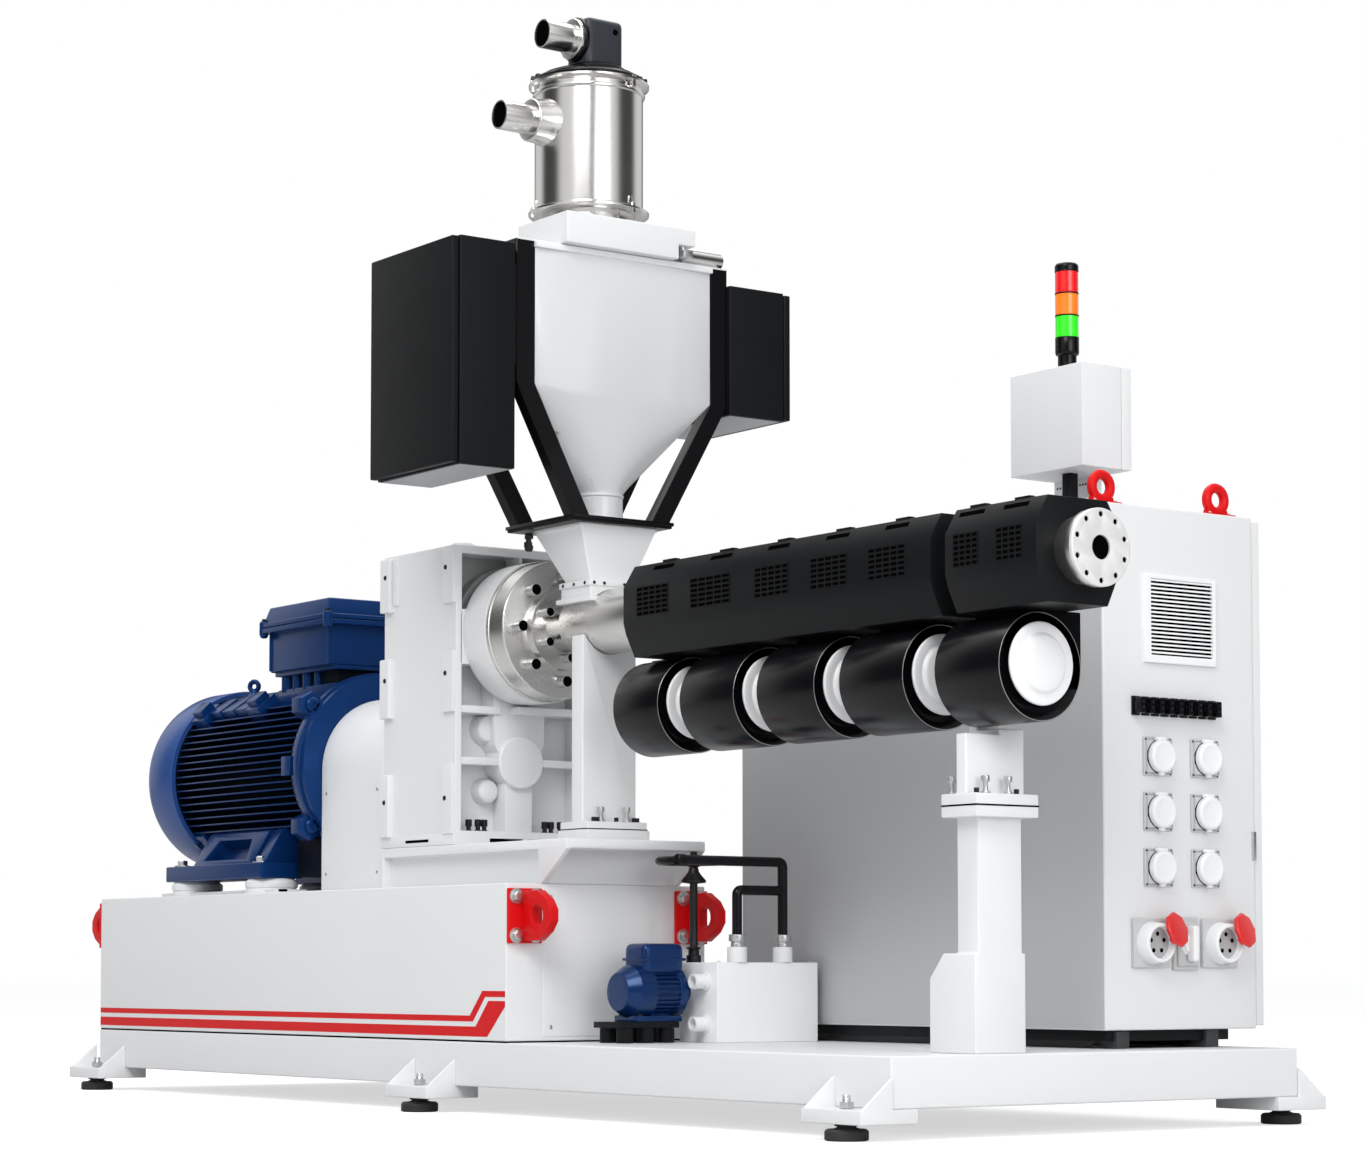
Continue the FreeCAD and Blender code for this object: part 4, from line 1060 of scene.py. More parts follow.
@dataclass
class Barrel:
    """Heated barrel: steel tube, octagonal covers with vents, blowers and the die flange."""

    half_w: float = 95.0
    half_h: float = 91.0
    flat: float = 68.0
    side: float = 46.0
    crease: float = 25.0
    vent_z: tuple[float, float] = (985.0, 1043.0)
    blower_r: float = 95.0
    blowers: tuple[tuple[float, float], ...] = ((-1061.0, -909.0), (-834.0, -661.0), (-587.0, -414.0),
                                                (-339.0, -160.0), (-72.0, 97.0))
    die_holes: tuple[int, float] = (10, 56.5)
    runs: tuple[CoverRun, ...] = (CoverRun("barrel_cover_main",
                                           ((-978, -873), (-798, -670), (-592, -488), (-422, -315),
                                            (-254, -150)), 5,
                                           ((-947, -880), (-758, -689), (-575, -510), (-399, -332),
                                            (-228, -163))),
                                  CoverRun("barrel_cover_die", ((-20, 45), (92, 158)), 4,
                                           ((-25, 41), (91, 155))))

    def outline(self, x: float, grow: float = 0.0) -> list[tuple[float, float, float]]:
        """Folded section of a cover at one station, with the low crease on both sides."""
        w, h, f, s, c = self.half_w + grow, self.half_h + grow, self.flat, self.side, self.crease
        yz = [(-w + 6, -s), (-f, -h), (f, -h), (w - 6, -s), (w, -c), (w, s), (f, h), (-f, h), (-w, s),
              (-w, -c)]
        return [(x, AXIS_Y + y, AXIS_Z + z) for y, z in yz]

    def cover(self, run: CoverRun) -> None:
        """One cover with vent sheets over painted shade, hook slots drawn as painted shade, and hooks
        on both sides.
        """
        lo, hi = spot(run.node)
        shell = plate(self.outline(lo.x), (hi.x - lo.x, 0, 0), 1.6)
        fitted(shell, run.node + "_shell", BLACK, node=run.node)
        # The black blocks behind the vent sheets and the slanted slot plates are painted shade,
        # standing for the inside of the openings.
        sheets, dark, hooks = [], [], []
        z0, z1 = self.vent_z
        for side in (-1, 1):
            face = AXIS_Y + side * self.half_w
            spin = 0.0 if side < 0 else 180.0
            for x0, x1 in run.vents:
                sheet = perforated(x1 - x0, z1 - z0, run.columns, 6, 3.8, 0.8)
                middle_x = (x0 + x1) / 2
                turn = (Matrix.Translation((middle_x, face, (z0 + z1) / 2))
                        @ Matrix.Rotation(math.radians(spin), 4, "Z")
                        @ Matrix.Rotation(math.radians(90), 4, "X"))
                sheets.append(laid(sheet, turn))
                dark.append(block((x0 + 2, face - side * 2, z0 + 2),
                                  (x1 - 2, face + side * 0.3, z1 - 2), 0.0))
            for x0, x1 in run.slots:
                dark.append(self.hook_slot(x0, x1, side))
                top = AXIS_Z + self.half_h
                hooks.append(block((x0 + 20, AXIS_Y + side * (self.flat + 1), top - 1),
                                   (x1 - 6, AXIS_Y + side * (self.flat - 13), top + 4), 1.5))
        fitted(joined(sheets + hooks), run.node + "_vents", BLACK)
        fitted(joined(dark), run.node + "_opening_shades", SHADOW)

    def hook_slot(self, x0: float, x1: float, side: int) -> Obj:
        """A slanted slot high on the folded corner, drawn as a thin plate of painted shade."""
        rise, run = self.half_h - self.side, self.half_w - self.flat
        length = math.hypot(rise, run)
        along = Vector((0, -side * run / length, rise / length))
        out = Vector((0, side * rise / length, run / length))
        base = Vector((0, AXIS_Y + side * self.half_w, AXIS_Z + self.side))
        low, high = base + along * length * 0.66, base + along * length * 0.84
        corners = [low + Vector((x0, 0, 0)), low + Vector((x1, 0, 0)), high + Vector((x1, 0, 0)),
                   high + Vector((x0, 0, 0))]
        return plate([c - out * 1.0 for c in corners], out * 1.3, 0.0)

    def blower(self) -> None:
        """Round blowers hung on ducts, with white centre caps."""
        lo, hi = spot("blowers")
        radius = self.blower_r
        zc = lo.z + radius
        rise = hi.z - zc
        bodies, rim_highlights, caps = [], [], []
        for x0, x1 in self.blowers:
            yz = arc((0, 0), radius, 0, -270, 72) + [(0, rise), (radius, rise)]
            body = plate([(x0, AXIS_Y + y, zc + z) for y, z in yz], (x1 - x0, 0, 0), 0.0)
            dish = turned((x1 + 1, AXIS_Y, zc), Axis.BACK_X, ((0, 92.5), (1, 92.5), (13, 80), (13, 60)),
                          72, 0.0)
            body = rounded(carved(body, dish), 1.6, 2, 30)
            bodies.append(body)
            bodies.append(turned((x1 - 13, AXIS_Y, zc + 4), Axis.X, ((0, 66), (12.5, 66)), 48, 0.0))
            # A thin zinc ring round each drum's front edge: painted highlight for the light line along
            # the rounded rim.
            rim_highlights.append(ring((x1 - 0.6, AXIS_Y, zc), Axis.X, 93.6, 0.8, 96))
            caps.append(facing((x1 - 1, AXIS_Y, zc + 5), Axis.X))
        fitted(joined(bodies), "blower_housings", BLACK_GLOSS, node="blowers", slot="black_paint",
               smooth=24)
        fitted(joined(rim_highlights), "blower_rim_highlights", ZINC)
        cap = turned((0, 0, 0), Axis.Z, ((0, 72), (4, 73), (6.5, 71), (7.5, 62), (6.6, 54), (7.6, 52.5),
                                         (12, 50), (14, 46), (14.8, 30)), 72, 0.5)
        fitted(set_out(cap, caps), "blower_centre_caps", WHITE_PLASTIC, node="blower_caps", smooth=40)

    def tube(self) -> None:
        """Barrel tube, screw and die flange."""
        lo, hi = spot("barrel")
        start = lo.x
        tube = turned((start, AXIS_Y, AXIS_Z), Axis.X,
                      ((0, 50), (67, 50), (68, 64), (70, 65), (372, 65), (374, 48), (hi.x - start, 48)),
                      96, 0.8)
        fitted(tube, "barrel_tube", STEEL_TURNED, node="barrel")
        skinned("screw", "screw_bar", STEEL_TURNED, 0.5)
        low, high = spot("die_flange")
        neck = turned((low.x, AXIS_Y, AXIS_Z), Axis.X,
                      ((0, 57), (3, 58), (25, 60), (33, 62), (36, 66), (high.x - low.x - 7, 67)), 96,
                      0.8)
        fitted(neck, "die_neck", NECK_STEEL, slot="machined_steel")
        disc = turned((high.x - 8, AXIS_Y, AXIS_Z), Axis.X, ((0, 67), (7, 67), (8, 66)), 128, 0.0)
        count, circle = self.die_holes
        angles = [90 + i * 360 / count for i in range(count)]
        cutters = [rod(around(high.x - 6, circle, a), around(high.x + 4, circle, a), 5.0, 20, 0)
                   for a in angles]
        cutters.append(rod((high.x - 40, AXIS_Y, AXIS_Z), (high.x + 4, AXIS_Y, AXIS_Z), 21, 48, 0))
        disc = carved(disc, joined(cutters))
        fitted(rounded(disc, 0.6, 2), "die_flange_face", BRIGHT, node="die_flange")
        bore = turned((high.x - 5.6, AXIS_Y, AXIS_Z), Axis.X,
                      ((-8, 22), (1.2, 22), (1.2, 17), (0.9, 12)), 48, 0.0)
        fitted(bore, "die_bore_shade", SHADOW)
        shade = turned((0, 0, 0), Axis.Z, ((0, 5.4), (1.2, 5.4), (1.2, 3), (0.9, 2.6)), 16, 0.0)
        holes = stood(shade, [around(high.x - 4.0, circle, a) for a in angles], Axis.X)
        fitted(holes, "die_hole_shades", SHADOW)

    def build(self) -> None:
        """Whole barrel."""
        self.tube()
        for run in self.runs:
            self.cover(run)
        self.blower()


@dataclass
class Posts:
    """Stands under the feed section and the die end."""

    def build(self) -> None:
        """Both posts with their jacking plates."""
        skinned("feed_post", "feed_post_weldment", WHITE, 2.5)
        skinned("die_post", "die_post_weldment", WHITE, 3.0)
        base = spot("feed_post")[0].z
        # Unlit black strips between the stacked plates: painted shade in the seams.
        gap_shade = [beam((-1281.5, -1181.5), 74.5, (base + 21.5, base + 24.8), 0.0)]
        gap_shade.append(beam((-82, 11.6), 72.6, (573, 576), 0.0))
        fitted(joined(gap_shade), "post_plate_joint_shades", SHADOW)
        places = [facing((x, AXIS_Y + y, base + 39), Axis.Z) for x in (-1267, -1196) for y in (-32, 32)]
        places += [facing((x, AXIS_Y + y, 595), Axis.Z) for x,
                   y in ((-70, -58), (-2, -40), (-2, 12), (-70, 58))]
        bolt = turned((0, 0, 0), Axis.Z, ((0, 8.5), (3, 8.5), (3, 4.6), (20, 4.6), (20, 8), (30, 8),
                                          (31, 7)), 24, 0.3)
        fitted(set_out(bolt, places), "post_jack_bolts", ZINC)
        small = [facing((x, AXIS_Y + y, base + 39), Axis.Z) for x in (-1192,)
                 for y in (-52, -44, 4, 48, 56)]
        small += [facing((-2, AXIS_Y + y, 595), Axis.Z) for y in (-60, 32)]
        fitted(set_out(cap_head(4.6, 9.0), small), "post_set_screws", BLACK_OXIDE)


# ---------------------------------------------------------------- motor

@dataclass
class Motor:
    """Main motor: finned case, cowl, end shield, terminal box and feet."""

    case_end: float = -2176.0
    shield_x: float = -2186.0
    fin_step: float = 16.4
    fin_thick: float = 3.2
    core_r: float = 160.0
    fin_r: float = 205.0
    side_fins: int = 9
    top_fins: int = 6
    lid_reach: float = 20.0

    def case(self) -> None:
        """Core painted in shade blue, with flat fins to both sides and upright fins above and below."""
        z = self.centre()
        x0, x1 = spot("motor_body")[0].x + 2, self.case_end
        # The core is painted near-black blue as the shade that falls between the fins.
        core = turned((x0, AXIS_Y, z), Axis.X, ((0, self.core_r), (x1 - x0, self.core_r)), 96, 0.0)
        fitted(core, "motor_core_shaded", BLUE_SHADE, node="motor_body")
        fins = []
        t = self.fin_thick / 2
        for i in range(-self.side_fins, self.side_fins + 1):
            h = i * self.fin_step
            reach = math.sqrt(self.fin_r ** 2 - h ** 2)
            inner = math.sqrt(max(self.core_r ** 2 - h ** 2, 0.0)) - 6
            for side in (-1, 1):
                ys = sorted((AXIS_Y + side * inner, AXIS_Y + side * reach))
                outline = [(x0, ys[0], z + h - t), (x1, ys[0], z + h - t), (x1, ys[1], z + h - t),
                           (x0, ys[1], z + h - t)]
                fins.append(plate(outline, (0, 0, 2 * t), 0.9))
        for i in range(-self.top_fins, self.top_fins + 1):
            y = i * self.fin_step
            reach = math.sqrt(self.fin_r ** 2 - y ** 2)
            inner = math.sqrt(self.core_r ** 2 - y ** 2) - 6
            for side in (-1, 1):
                zs = sorted((z + side * inner, z + side * reach))
                outline = [(x0, AXIS_Y + y - t, zs[0]), (x1, AXIS_Y + y - t, zs[0]),
                           (x1, AXIS_Y + y - t, zs[1]), (x0, AXIS_Y + y - t, zs[1])]
                fins.append(plate(outline, (0, 2 * t, 0), 0.9))
        fitted(joined(fins), "motor_fins", BLUE)

    def centre(self) -> float:
        """Height of the shaft line."""
        return middle("motor_fan_cowl").z

    def ends(self) -> None:
        """Fan cowl and the stepped end shield with its lugs."""
        lo, hi = spot("motor_fan_cowl")
        z = self.centre()
        length = hi.x - lo.x
        cowl = turned((lo.x, AXIS_Y, z), Axis.X, ((0, 176), (3, 184), (10, 196), (20, 207), (34, 214),
                                                  (52, 217.5), (length - 3, 218), (length, 216),
                                                  (length, 207)), 128, 0.0)
        # The cowl wears the lighter blue: painted highlight.
        fitted(cowl, "motor_cowl", BLUE_COWL_LIT, node="motor_fan_cowl", smooth=50)
        shade = turned((hi.x - 1, AXIS_Y, z), Axis.X, ((0, 206), (2, 206)), 96, 0.0)
        fitted(shade, "cowl_inner_shade", BLUE_SHADE)
        grid = perforated(240, 240, 13, 13, 5.0, 2.0)
        place = facing((lo.x + 1.0, AXIS_Y, z), Axis.BACK_X)
        hub = turned((lo.x + 2, AXIS_Y, z), Axis.BACK_X, ((0, 40), (3, 38), (3.4, 30)), 48, 0.5)
        # Unlit black sheet behind the inlet grid: painted shade inside the cowl.
        backing_shade = beam((lo.x + 1, lo.x - 0.3), 116, (z - 116, z + 116), 0.0)
        fitted(joined([laid(grid, place), hub]), "cowl_inlet_grid", BLUE)
        fitted(backing_shade, "cowl_inlet_shade", SHADOW)
        start = self.shield_x
        shield = turned((start, AXIS_Y, z), Axis.X, ((0, 194), (2, 202), (16, 202), (16, 195),
                                                     (21, 195), (21, 210), (34, 210), (34, 204),
                                                     (39, 204), (39, 217), (58, 217), (58, 211),
                                                     (76, 211)), 128, 0.7)
        parts = [shield]
        for angle in (38, 142, 218, 322):
            a = math.radians(angle)
            radial = Vector((0, math.cos(a), math.sin(a)))
            seat = Vector((start + 2, AXIS_Y, z)) + radial * 222
            lug = turned(seat, Axis.X, ((0, 28), (3, 32), (44, 32), (47, 29)), 6, 1.2)
            neck = turned(seat + Vector((47, 0, 0)), Axis.X,
                          ((-2, 17), (7, 17), (9, 14), (9, 7), (5, 6)), 32, 0.5)
            parts += [lug, neck]
        for side in (-1, 1):
            parts.append(block((start - 14, AXIS_Y + side * 196, z - 22),
                               (start + 24, AXIS_Y + side * 219, z + 22), 2.5))
        fitted(joined(parts), "motor_end_shield", BLUE)
        # A block below the case, painted near-black blue as the shade there.
        skirt = beam((start - 60, -2114), 150, (499, z - 160), 4.0)
        fitted(skirt, "motor_lower_skirt_shaded", BLUE_SHADE)
        tabs = []
        for angle in (48, 132, 228, 312):
            a = math.radians(angle)
            seat = Vector((hi.x - 4, AXIS_Y + 208 * math.cos(a), z + 208 * math.sin(a)))
            place = (Matrix.Translation(seat) @ Matrix.Rotation(a - math.pi / 2, 4, "X"))
            tab = block((-10, -22, -22), (56, 22, 2), 3.0)
            tabs.append(laid(tab, place))
            tabs.append(laid(hex_head(8, 7, 2), place @ Matrix.Translation((2, 0, 2))))
        fitted(joined(tabs), "cowl_brackets", BLUE)

    def top(self) -> None:
        """Neck, glands, eyebolt and the terminal box with its stepped lid."""
        z = self.centre()
        lo, hi = spot("terminal_box")
        # Core under the terminal neck, painted near-black blue as the shade between the glands.
        core = beam((lo.x + 34, hi.x - 34), 76, (z + 150, lo.z + 2), 3.0)
        fitted(core, "terminal_neck_core_shaded", BLUE_SHADE)
        neck = [beam((lo.x + 26, hi.x - 18), 88, (z + 150, z + 196), 4.0),
                beam((lo.x + 22, hi.x - 22), 94, (lo.z - 9, lo.z + 2), 2.0)]
        for x, r in ((lo.x + 52, 15), (lo.x + 100, 11), (lo.x + 150, 13), (lo.x + 200, 9)):
            neck.append(rod((x, AXIS_Y - 82 + r * 0.4, z + 190), (x, AXIS_Y - 82 + r * 0.4, lo.z), r,
                            24, 1.0))
        fitted(joined(neck), "terminal_neck", BLUE)
        seat = lo.z + 92
        inset = self.lid_reach
        base = block((lo.x + inset, lo.y + inset, lo.z), (hi.x - inset, hi.y - inset, seat + 4), 5.0, 3)
        flange = block((lo.x, lo.y, seat), (hi.x, hi.y, seat + 12), 3.0, 3)
        rim = block((lo.x + 1, lo.y + 1, seat + 13.2), (hi.x - 1, hi.y - 1, seat + 24), 3.0, 3)
        parts = [base, flange, rim]
        deselect()
        bpy.ops.mesh.primitive_cube_add(size=1, location=((lo.x + hi.x) / 2, AXIS_Y,
                                                          (seat + 22 + hi.z) / 2))
        crown = bpy.context.active_object
        crown.scale = (hi.x - lo.x - 14, hi.y - lo.y - 14, hi.z - seat - 22)
        settled(crown)
        with editing(crown):
            bpy.ops.mesh.select_all(action="DESELECT")
            bpy.ops.object.mode_set(mode="OBJECT")
            for face in crown.data.polygons:
                face.select = face.normal.z > 0.5
            bpy.ops.object.mode_set(mode="EDIT")
            k = 1 - 26.0 / (hi.x - lo.x)
            bpy.ops.transform.resize(value=(k, k - 0.01, 1))
        parts.append(rounded(crown, 4.0, 3))
        corners = [(x, y) for x in (lo.x + 9, hi.x - 9) for y in (lo.y + 9, hi.y - 9)]
        for x, y in corners:
            parts.append(turned((x, y, seat - 10), Axis.Z,
                                ((0, 5), (3, 9), (10, 11), (36, 11), (38, 9)), 24, 0.8))
        for x, y in ((lo.x + inset + 3, lo.y + inset - 2), (hi.x - inset - 3, lo.y + inset - 2)):
            parts.append(rod((x, y + 2, lo.z + 4), (x, y + 2, seat), 4.0, 16, 0.0))
        fitted(joined(parts), "terminal_box_case", BLUE, node="terminal_box")
        screws = stood(hex_head(6.0, 6.0, 1.5), [(x, y, seat + 28) for x, y in corners])
        fitted(screws, "terminal_box_screws", BLACK_OXIDE)
        eye = joined([ring((-2700, AXIS_Y - 20, z + 226), (0.58, -0.81, 0), 11.5, 6, 40),
                      turned((-2700, AXIS_Y - 20, z + 190), Axis.Z,
                             ((0, 17), (12, 17), (18, 10), (28, 8)), 24, 0.8)])
        fitted(eye, "motor_eyebolt", BLUE)
        saddles = []
        for x, angle in ((-2700, 134), (-2450, 130), (-2700, 46), (-2450, 50)):
            a = math.radians(angle)
            seat_at = Vector((x, AXIS_Y + 192 * math.cos(a), z + 192 * math.sin(a)))
            place = Matrix.Translation(seat_at) @ Matrix.Rotation(a - math.pi / 2, 4, "X")
            saddles.append(laid(block((-30, -30, -26), (30, 30, 26), 3.0), place))
            saddles.append(laid(block((-22, -20, 20), (22, 20, 42), 3.0), place))
        for x in (-2640, -2570, -2505):
            a = math.radians(129)
            seat_at = Vector((x, AXIS_Y + 194 * math.cos(a), z + 194 * math.sin(a)))
            place = Matrix.Translation(seat_at) @ Matrix.Rotation(a - math.pi / 2, 4, "X")
            wedge = [(-34, -28, 0), (22, -28, 0), (34, 28, 0), (-8, 28, 0)]
            saddles.append(laid(plate(wedge, (0, 0, 24), 2.0), place))
        fitted(joined(saddles), "motor_saddles", BLUE)

    def feet(self) -> None:
        """Cast feet with a hollow wedge and a second web, on round pads and rails, with painted shade
        for the rail slots.
        """
        lo, hi = spot("motor_feet")
        top = lo.z + 36.0
        castings = []
        for side in (-1, 1):
            out = AXIS_Y + side * 230
            base, inner = AXIS_Y + side * 212, AXIS_Y + side * 120
            castings.append(block((lo.x, out, lo.z), (hi.x, inner, top), 4.0, 3))
            for x0, x1 in ((-2640.0, -2350.0), (-2330.0, -2290.0)):
                yz = [(base, top - 2), (inner, top - 2), (inner, top + 96),
                      (base - side * 46, top + 74)]
                wedge = plate([(x0, y, z) for y, z in yz], (x1 - x0, 0, 0), 0.0)
                if x1 - x0 > 100:
                    a = Vector((x0 + 40, base - side * 8, top + 12))
                    b = Vector((x0 + 66, base - side * 37, top + 58))
                    c = Vector((x1 - 66, base - side * 37, top + 58))
                    d = Vector((x1 - 40, base - side * 8, top + 12))
                    push = Vector((0, -side * 26, -16))
                    start = [p - push * 0.8 for p in (a, b, c, d)]
                    carved(wedge, plate(start, push * 2.0, 0.0))
                castings.append(rounded(wedge, 3.0, 2))
        fitted(joined(castings), "motor_foot_castings", BLUE, node="motor_feet")
        pads = spot("motor_pads")
        sites = [(x, AXIS_Y + side * 172) for x in (-2692.0, -2326.0) for side in (-1, 1)]
        pad = turned((0, 0, 0), Axis.Z, ((0, 60), (10, 60), (11, 57), (14, 57), (15, 60), (28, 60),
                                         (35, 52)), 64, 0.8)
        discs = stood(pad, [(x, y, pads[0].z) for x, y in sites])
        rails = []
        for side in (-1, 1):
            y = AXIS_Y + side * 172
            rails.append(block((-2800, y - 40, pads[0].z), (-2230, y + 40, pads[0].z + 9), 1.5))
        fitted(joined([discs] + rails), "motor_pad_set", WHITE, node="motor_pads")
        bolts = [facing((x, AXIS_Y + side * 205, top), Axis.Z, 10) for x in (-2705, -2315)
                 for side in (-1, 1)]
        fitted(set_out(hex_head(13, 12, 3), bolts), "motor_foot_bolts", ZINC)
        # The rail slots are unlit black blocks laid on the rails: painted shade, not cut.
        slots = []
        for side in (-1, 1):
            for x in (-2785, -2600, -2420, -2262):
                slots.append(block((x, AXIS_Y + side * 185, pads[0].z + 4),
                                   (x + 34, AXIS_Y + side * 206, pads[0].z + 9.4), 0.0))
        fitted(joined(slots), "motor_rail_slot_shades", SHADOW)

    def build(self) -> None:
        """Whole motor and the coupling guard."""
        self.case()
        self.ends()
        self.top()
        self.feet()
        skinned("coupling_guard", "coupling_guard_shell", WHITE, 7.0, 4, 50, smooth=40)
        lo, hi = spot("coupling_guard")
        sites = [(x, z) for x in (lo.x + 26, hi.x - 26) for z in (lo.z + 40, lo.z + 220)]
        screws = [facing((x, lo.y, z), Axis.BACK_Y) for x,
                  z in sites] + [facing((x, hi.y, z), Axis.Y) for x, z in sites]
        fitted(set_out(pan_head(4.5), screws), "coupling_guard_screws", ZINC)


# ---------------------------------------------------------------- hopper and loader

@dataclass
class Hopper:
    """Hopper on its tapered stand, with side boxes and the funnel below."""

    leaf: float = 16.0
    groove: float = 2.5
    spacer: float = 13.0
    ring_z: float = 1197.0

    def side_box(self, node: str, side: int) -> None:
        """A side box: shell, door leaf with painted shade in the seam round its edges, and bottom
        panel.

        Args:
            node: its CAD node.
            side: -1 where the door is on the operator side, 1 on the other.
        """
        lo, hi = spot(node)
        near, far = (hi.y - self.spacer, lo.y) if side < 0 else (lo.y, hi.y)
        out = side
        shell = [block((lo.x, near, lo.z), (hi.x, far - out * (self.leaf + self.groove), hi.z), 3.0, 3)]
        if side < 0:
            for x in (-1412.0, -1190.0):
                shell.append(block((x, near - 2, 1500), (x + 30, near + self.spacer, 1700), 1.5))
        fitted(joined(shell), node + "_shell", BLACK, node=node)
        leaf = block((lo.x + 1, far, lo.z + 3), (hi.x - 1, far - out * self.leaf, hi.z - 3), 3.0, 3)
        fitted(leaf, node + "_door", BLACK)
        # Unlit black block in the seam round the door leaf: painted shade.
        gap_shade = block((lo.x + 5, far - out * (self.leaf - 1), lo.z + 6),
                    (hi.x - 5, far - out * (self.leaf + self.groove + 1), hi.z - 6), 0.0)
        fitted(gap_shade, node + "_door_gap", SHADOW)
        floor = block((lo.x + 8, near + out * 6, lo.z - 0.8),
                      (hi.x - 8, far - out * (self.leaf + 8), lo.z + 3), 0.5)
        fitted(floor, node + "_floor", PLATE_GREY)

    def build(self) -> None:
        """Stand, hopper, boxes and funnel."""
        skinned("hopper_frame", "hopper_stand", BLACK_GLOSS, 0.8, 1, slot="black_paint")
        skinned("hopper_body", "hopper_shell", HOPPER_WHITE, 1.2, 2, 40, smooth=40)
        lo, hi = spot("hopper_frame")
        top = [block((lo.x - 2, lo.y + 1, hi.z - 2), (hi.x + 2, hi.y - 1, hi.z + 1.5), 1.0),
               block((lo.x + 6, lo.y + 42, hi.z - 14), (hi.x + 9, hi.y - 42, hi.z - 1), 2.0),
               block((lo.x + 20, lo.y + 40, hi.z), (hi.x - 26, hi.y - 40, hi.z + 3), 1.0)]
        fitted(joined(top), "hopper_top_plate", WHITE)
        ring_z = self.ring_z
        lips = [beam((lo.x - 3, hi.x + 3), 124, (ring_z + 5, ring_z + 12.5), 1.5),
                beam((lo.x + 2, hi.x - 2), 119, (ring_z - 0.5, ring_z + 4), 1.0)]
        fitted(joined(lips), "hopper_ring_plate", BLACK_GLOSS)
        neck = turned((-1250, AXIS_Y, ring_z + 12), Axis.Z,
                      ((0, 52), (6, 52), (8, 49), (50, 49), (52, 51), (56, 51)), 72, 0.8)
        fitted(neck, "hopper_neck", HOPPER_WHITE)
        self.side_box("side_box_tall", -1)
        self.side_box("side_box_short", 1)
        skinned("feed_funnel", "feed_funnel_casting", WHITE, 3.0, 3)
        low, high = spot("feed_funnel")
        collar = beam((low.x + 2, high.x - 2), 97, (high.z - 8, high.z - 0.3), 2.0)
        saddle = [beam((-1312, -1188), 66, (1040, 1050), 2.0),
                  beam((-1306, -1194), 62, (1072, 1084), 2.0)]
        fitted(joined([collar] + saddle), "feed_funnel_flanges", WHITE)
        places = [facing((-1193.6, AXIS_Y + y, 1078), Axis.X) for y in (-50, -25, 25, 50)]
        places += [facing((x, AXIS_Y - 62.4, 1078), Axis.BACK_Y) for x in (-1290, -1250, -1210)]
        fitted(set_out(pan_head(3.6), places), "funnel_screws", BLACK_OXIDE)
        profile = ((0, 6), (6, 9), (12, 9), (13, 5), (26, 5), (27, 9), (33, 9), (38, 7))
        hooks = [turned((-1352, AXIS_Y + dy, ring_z - 44), Axis.Z, profile, 20, 0.5)
                 for dy in (-106, 106)]
        fitted(joined(hooks), "ring_clamps", BLACK_OXIDE)


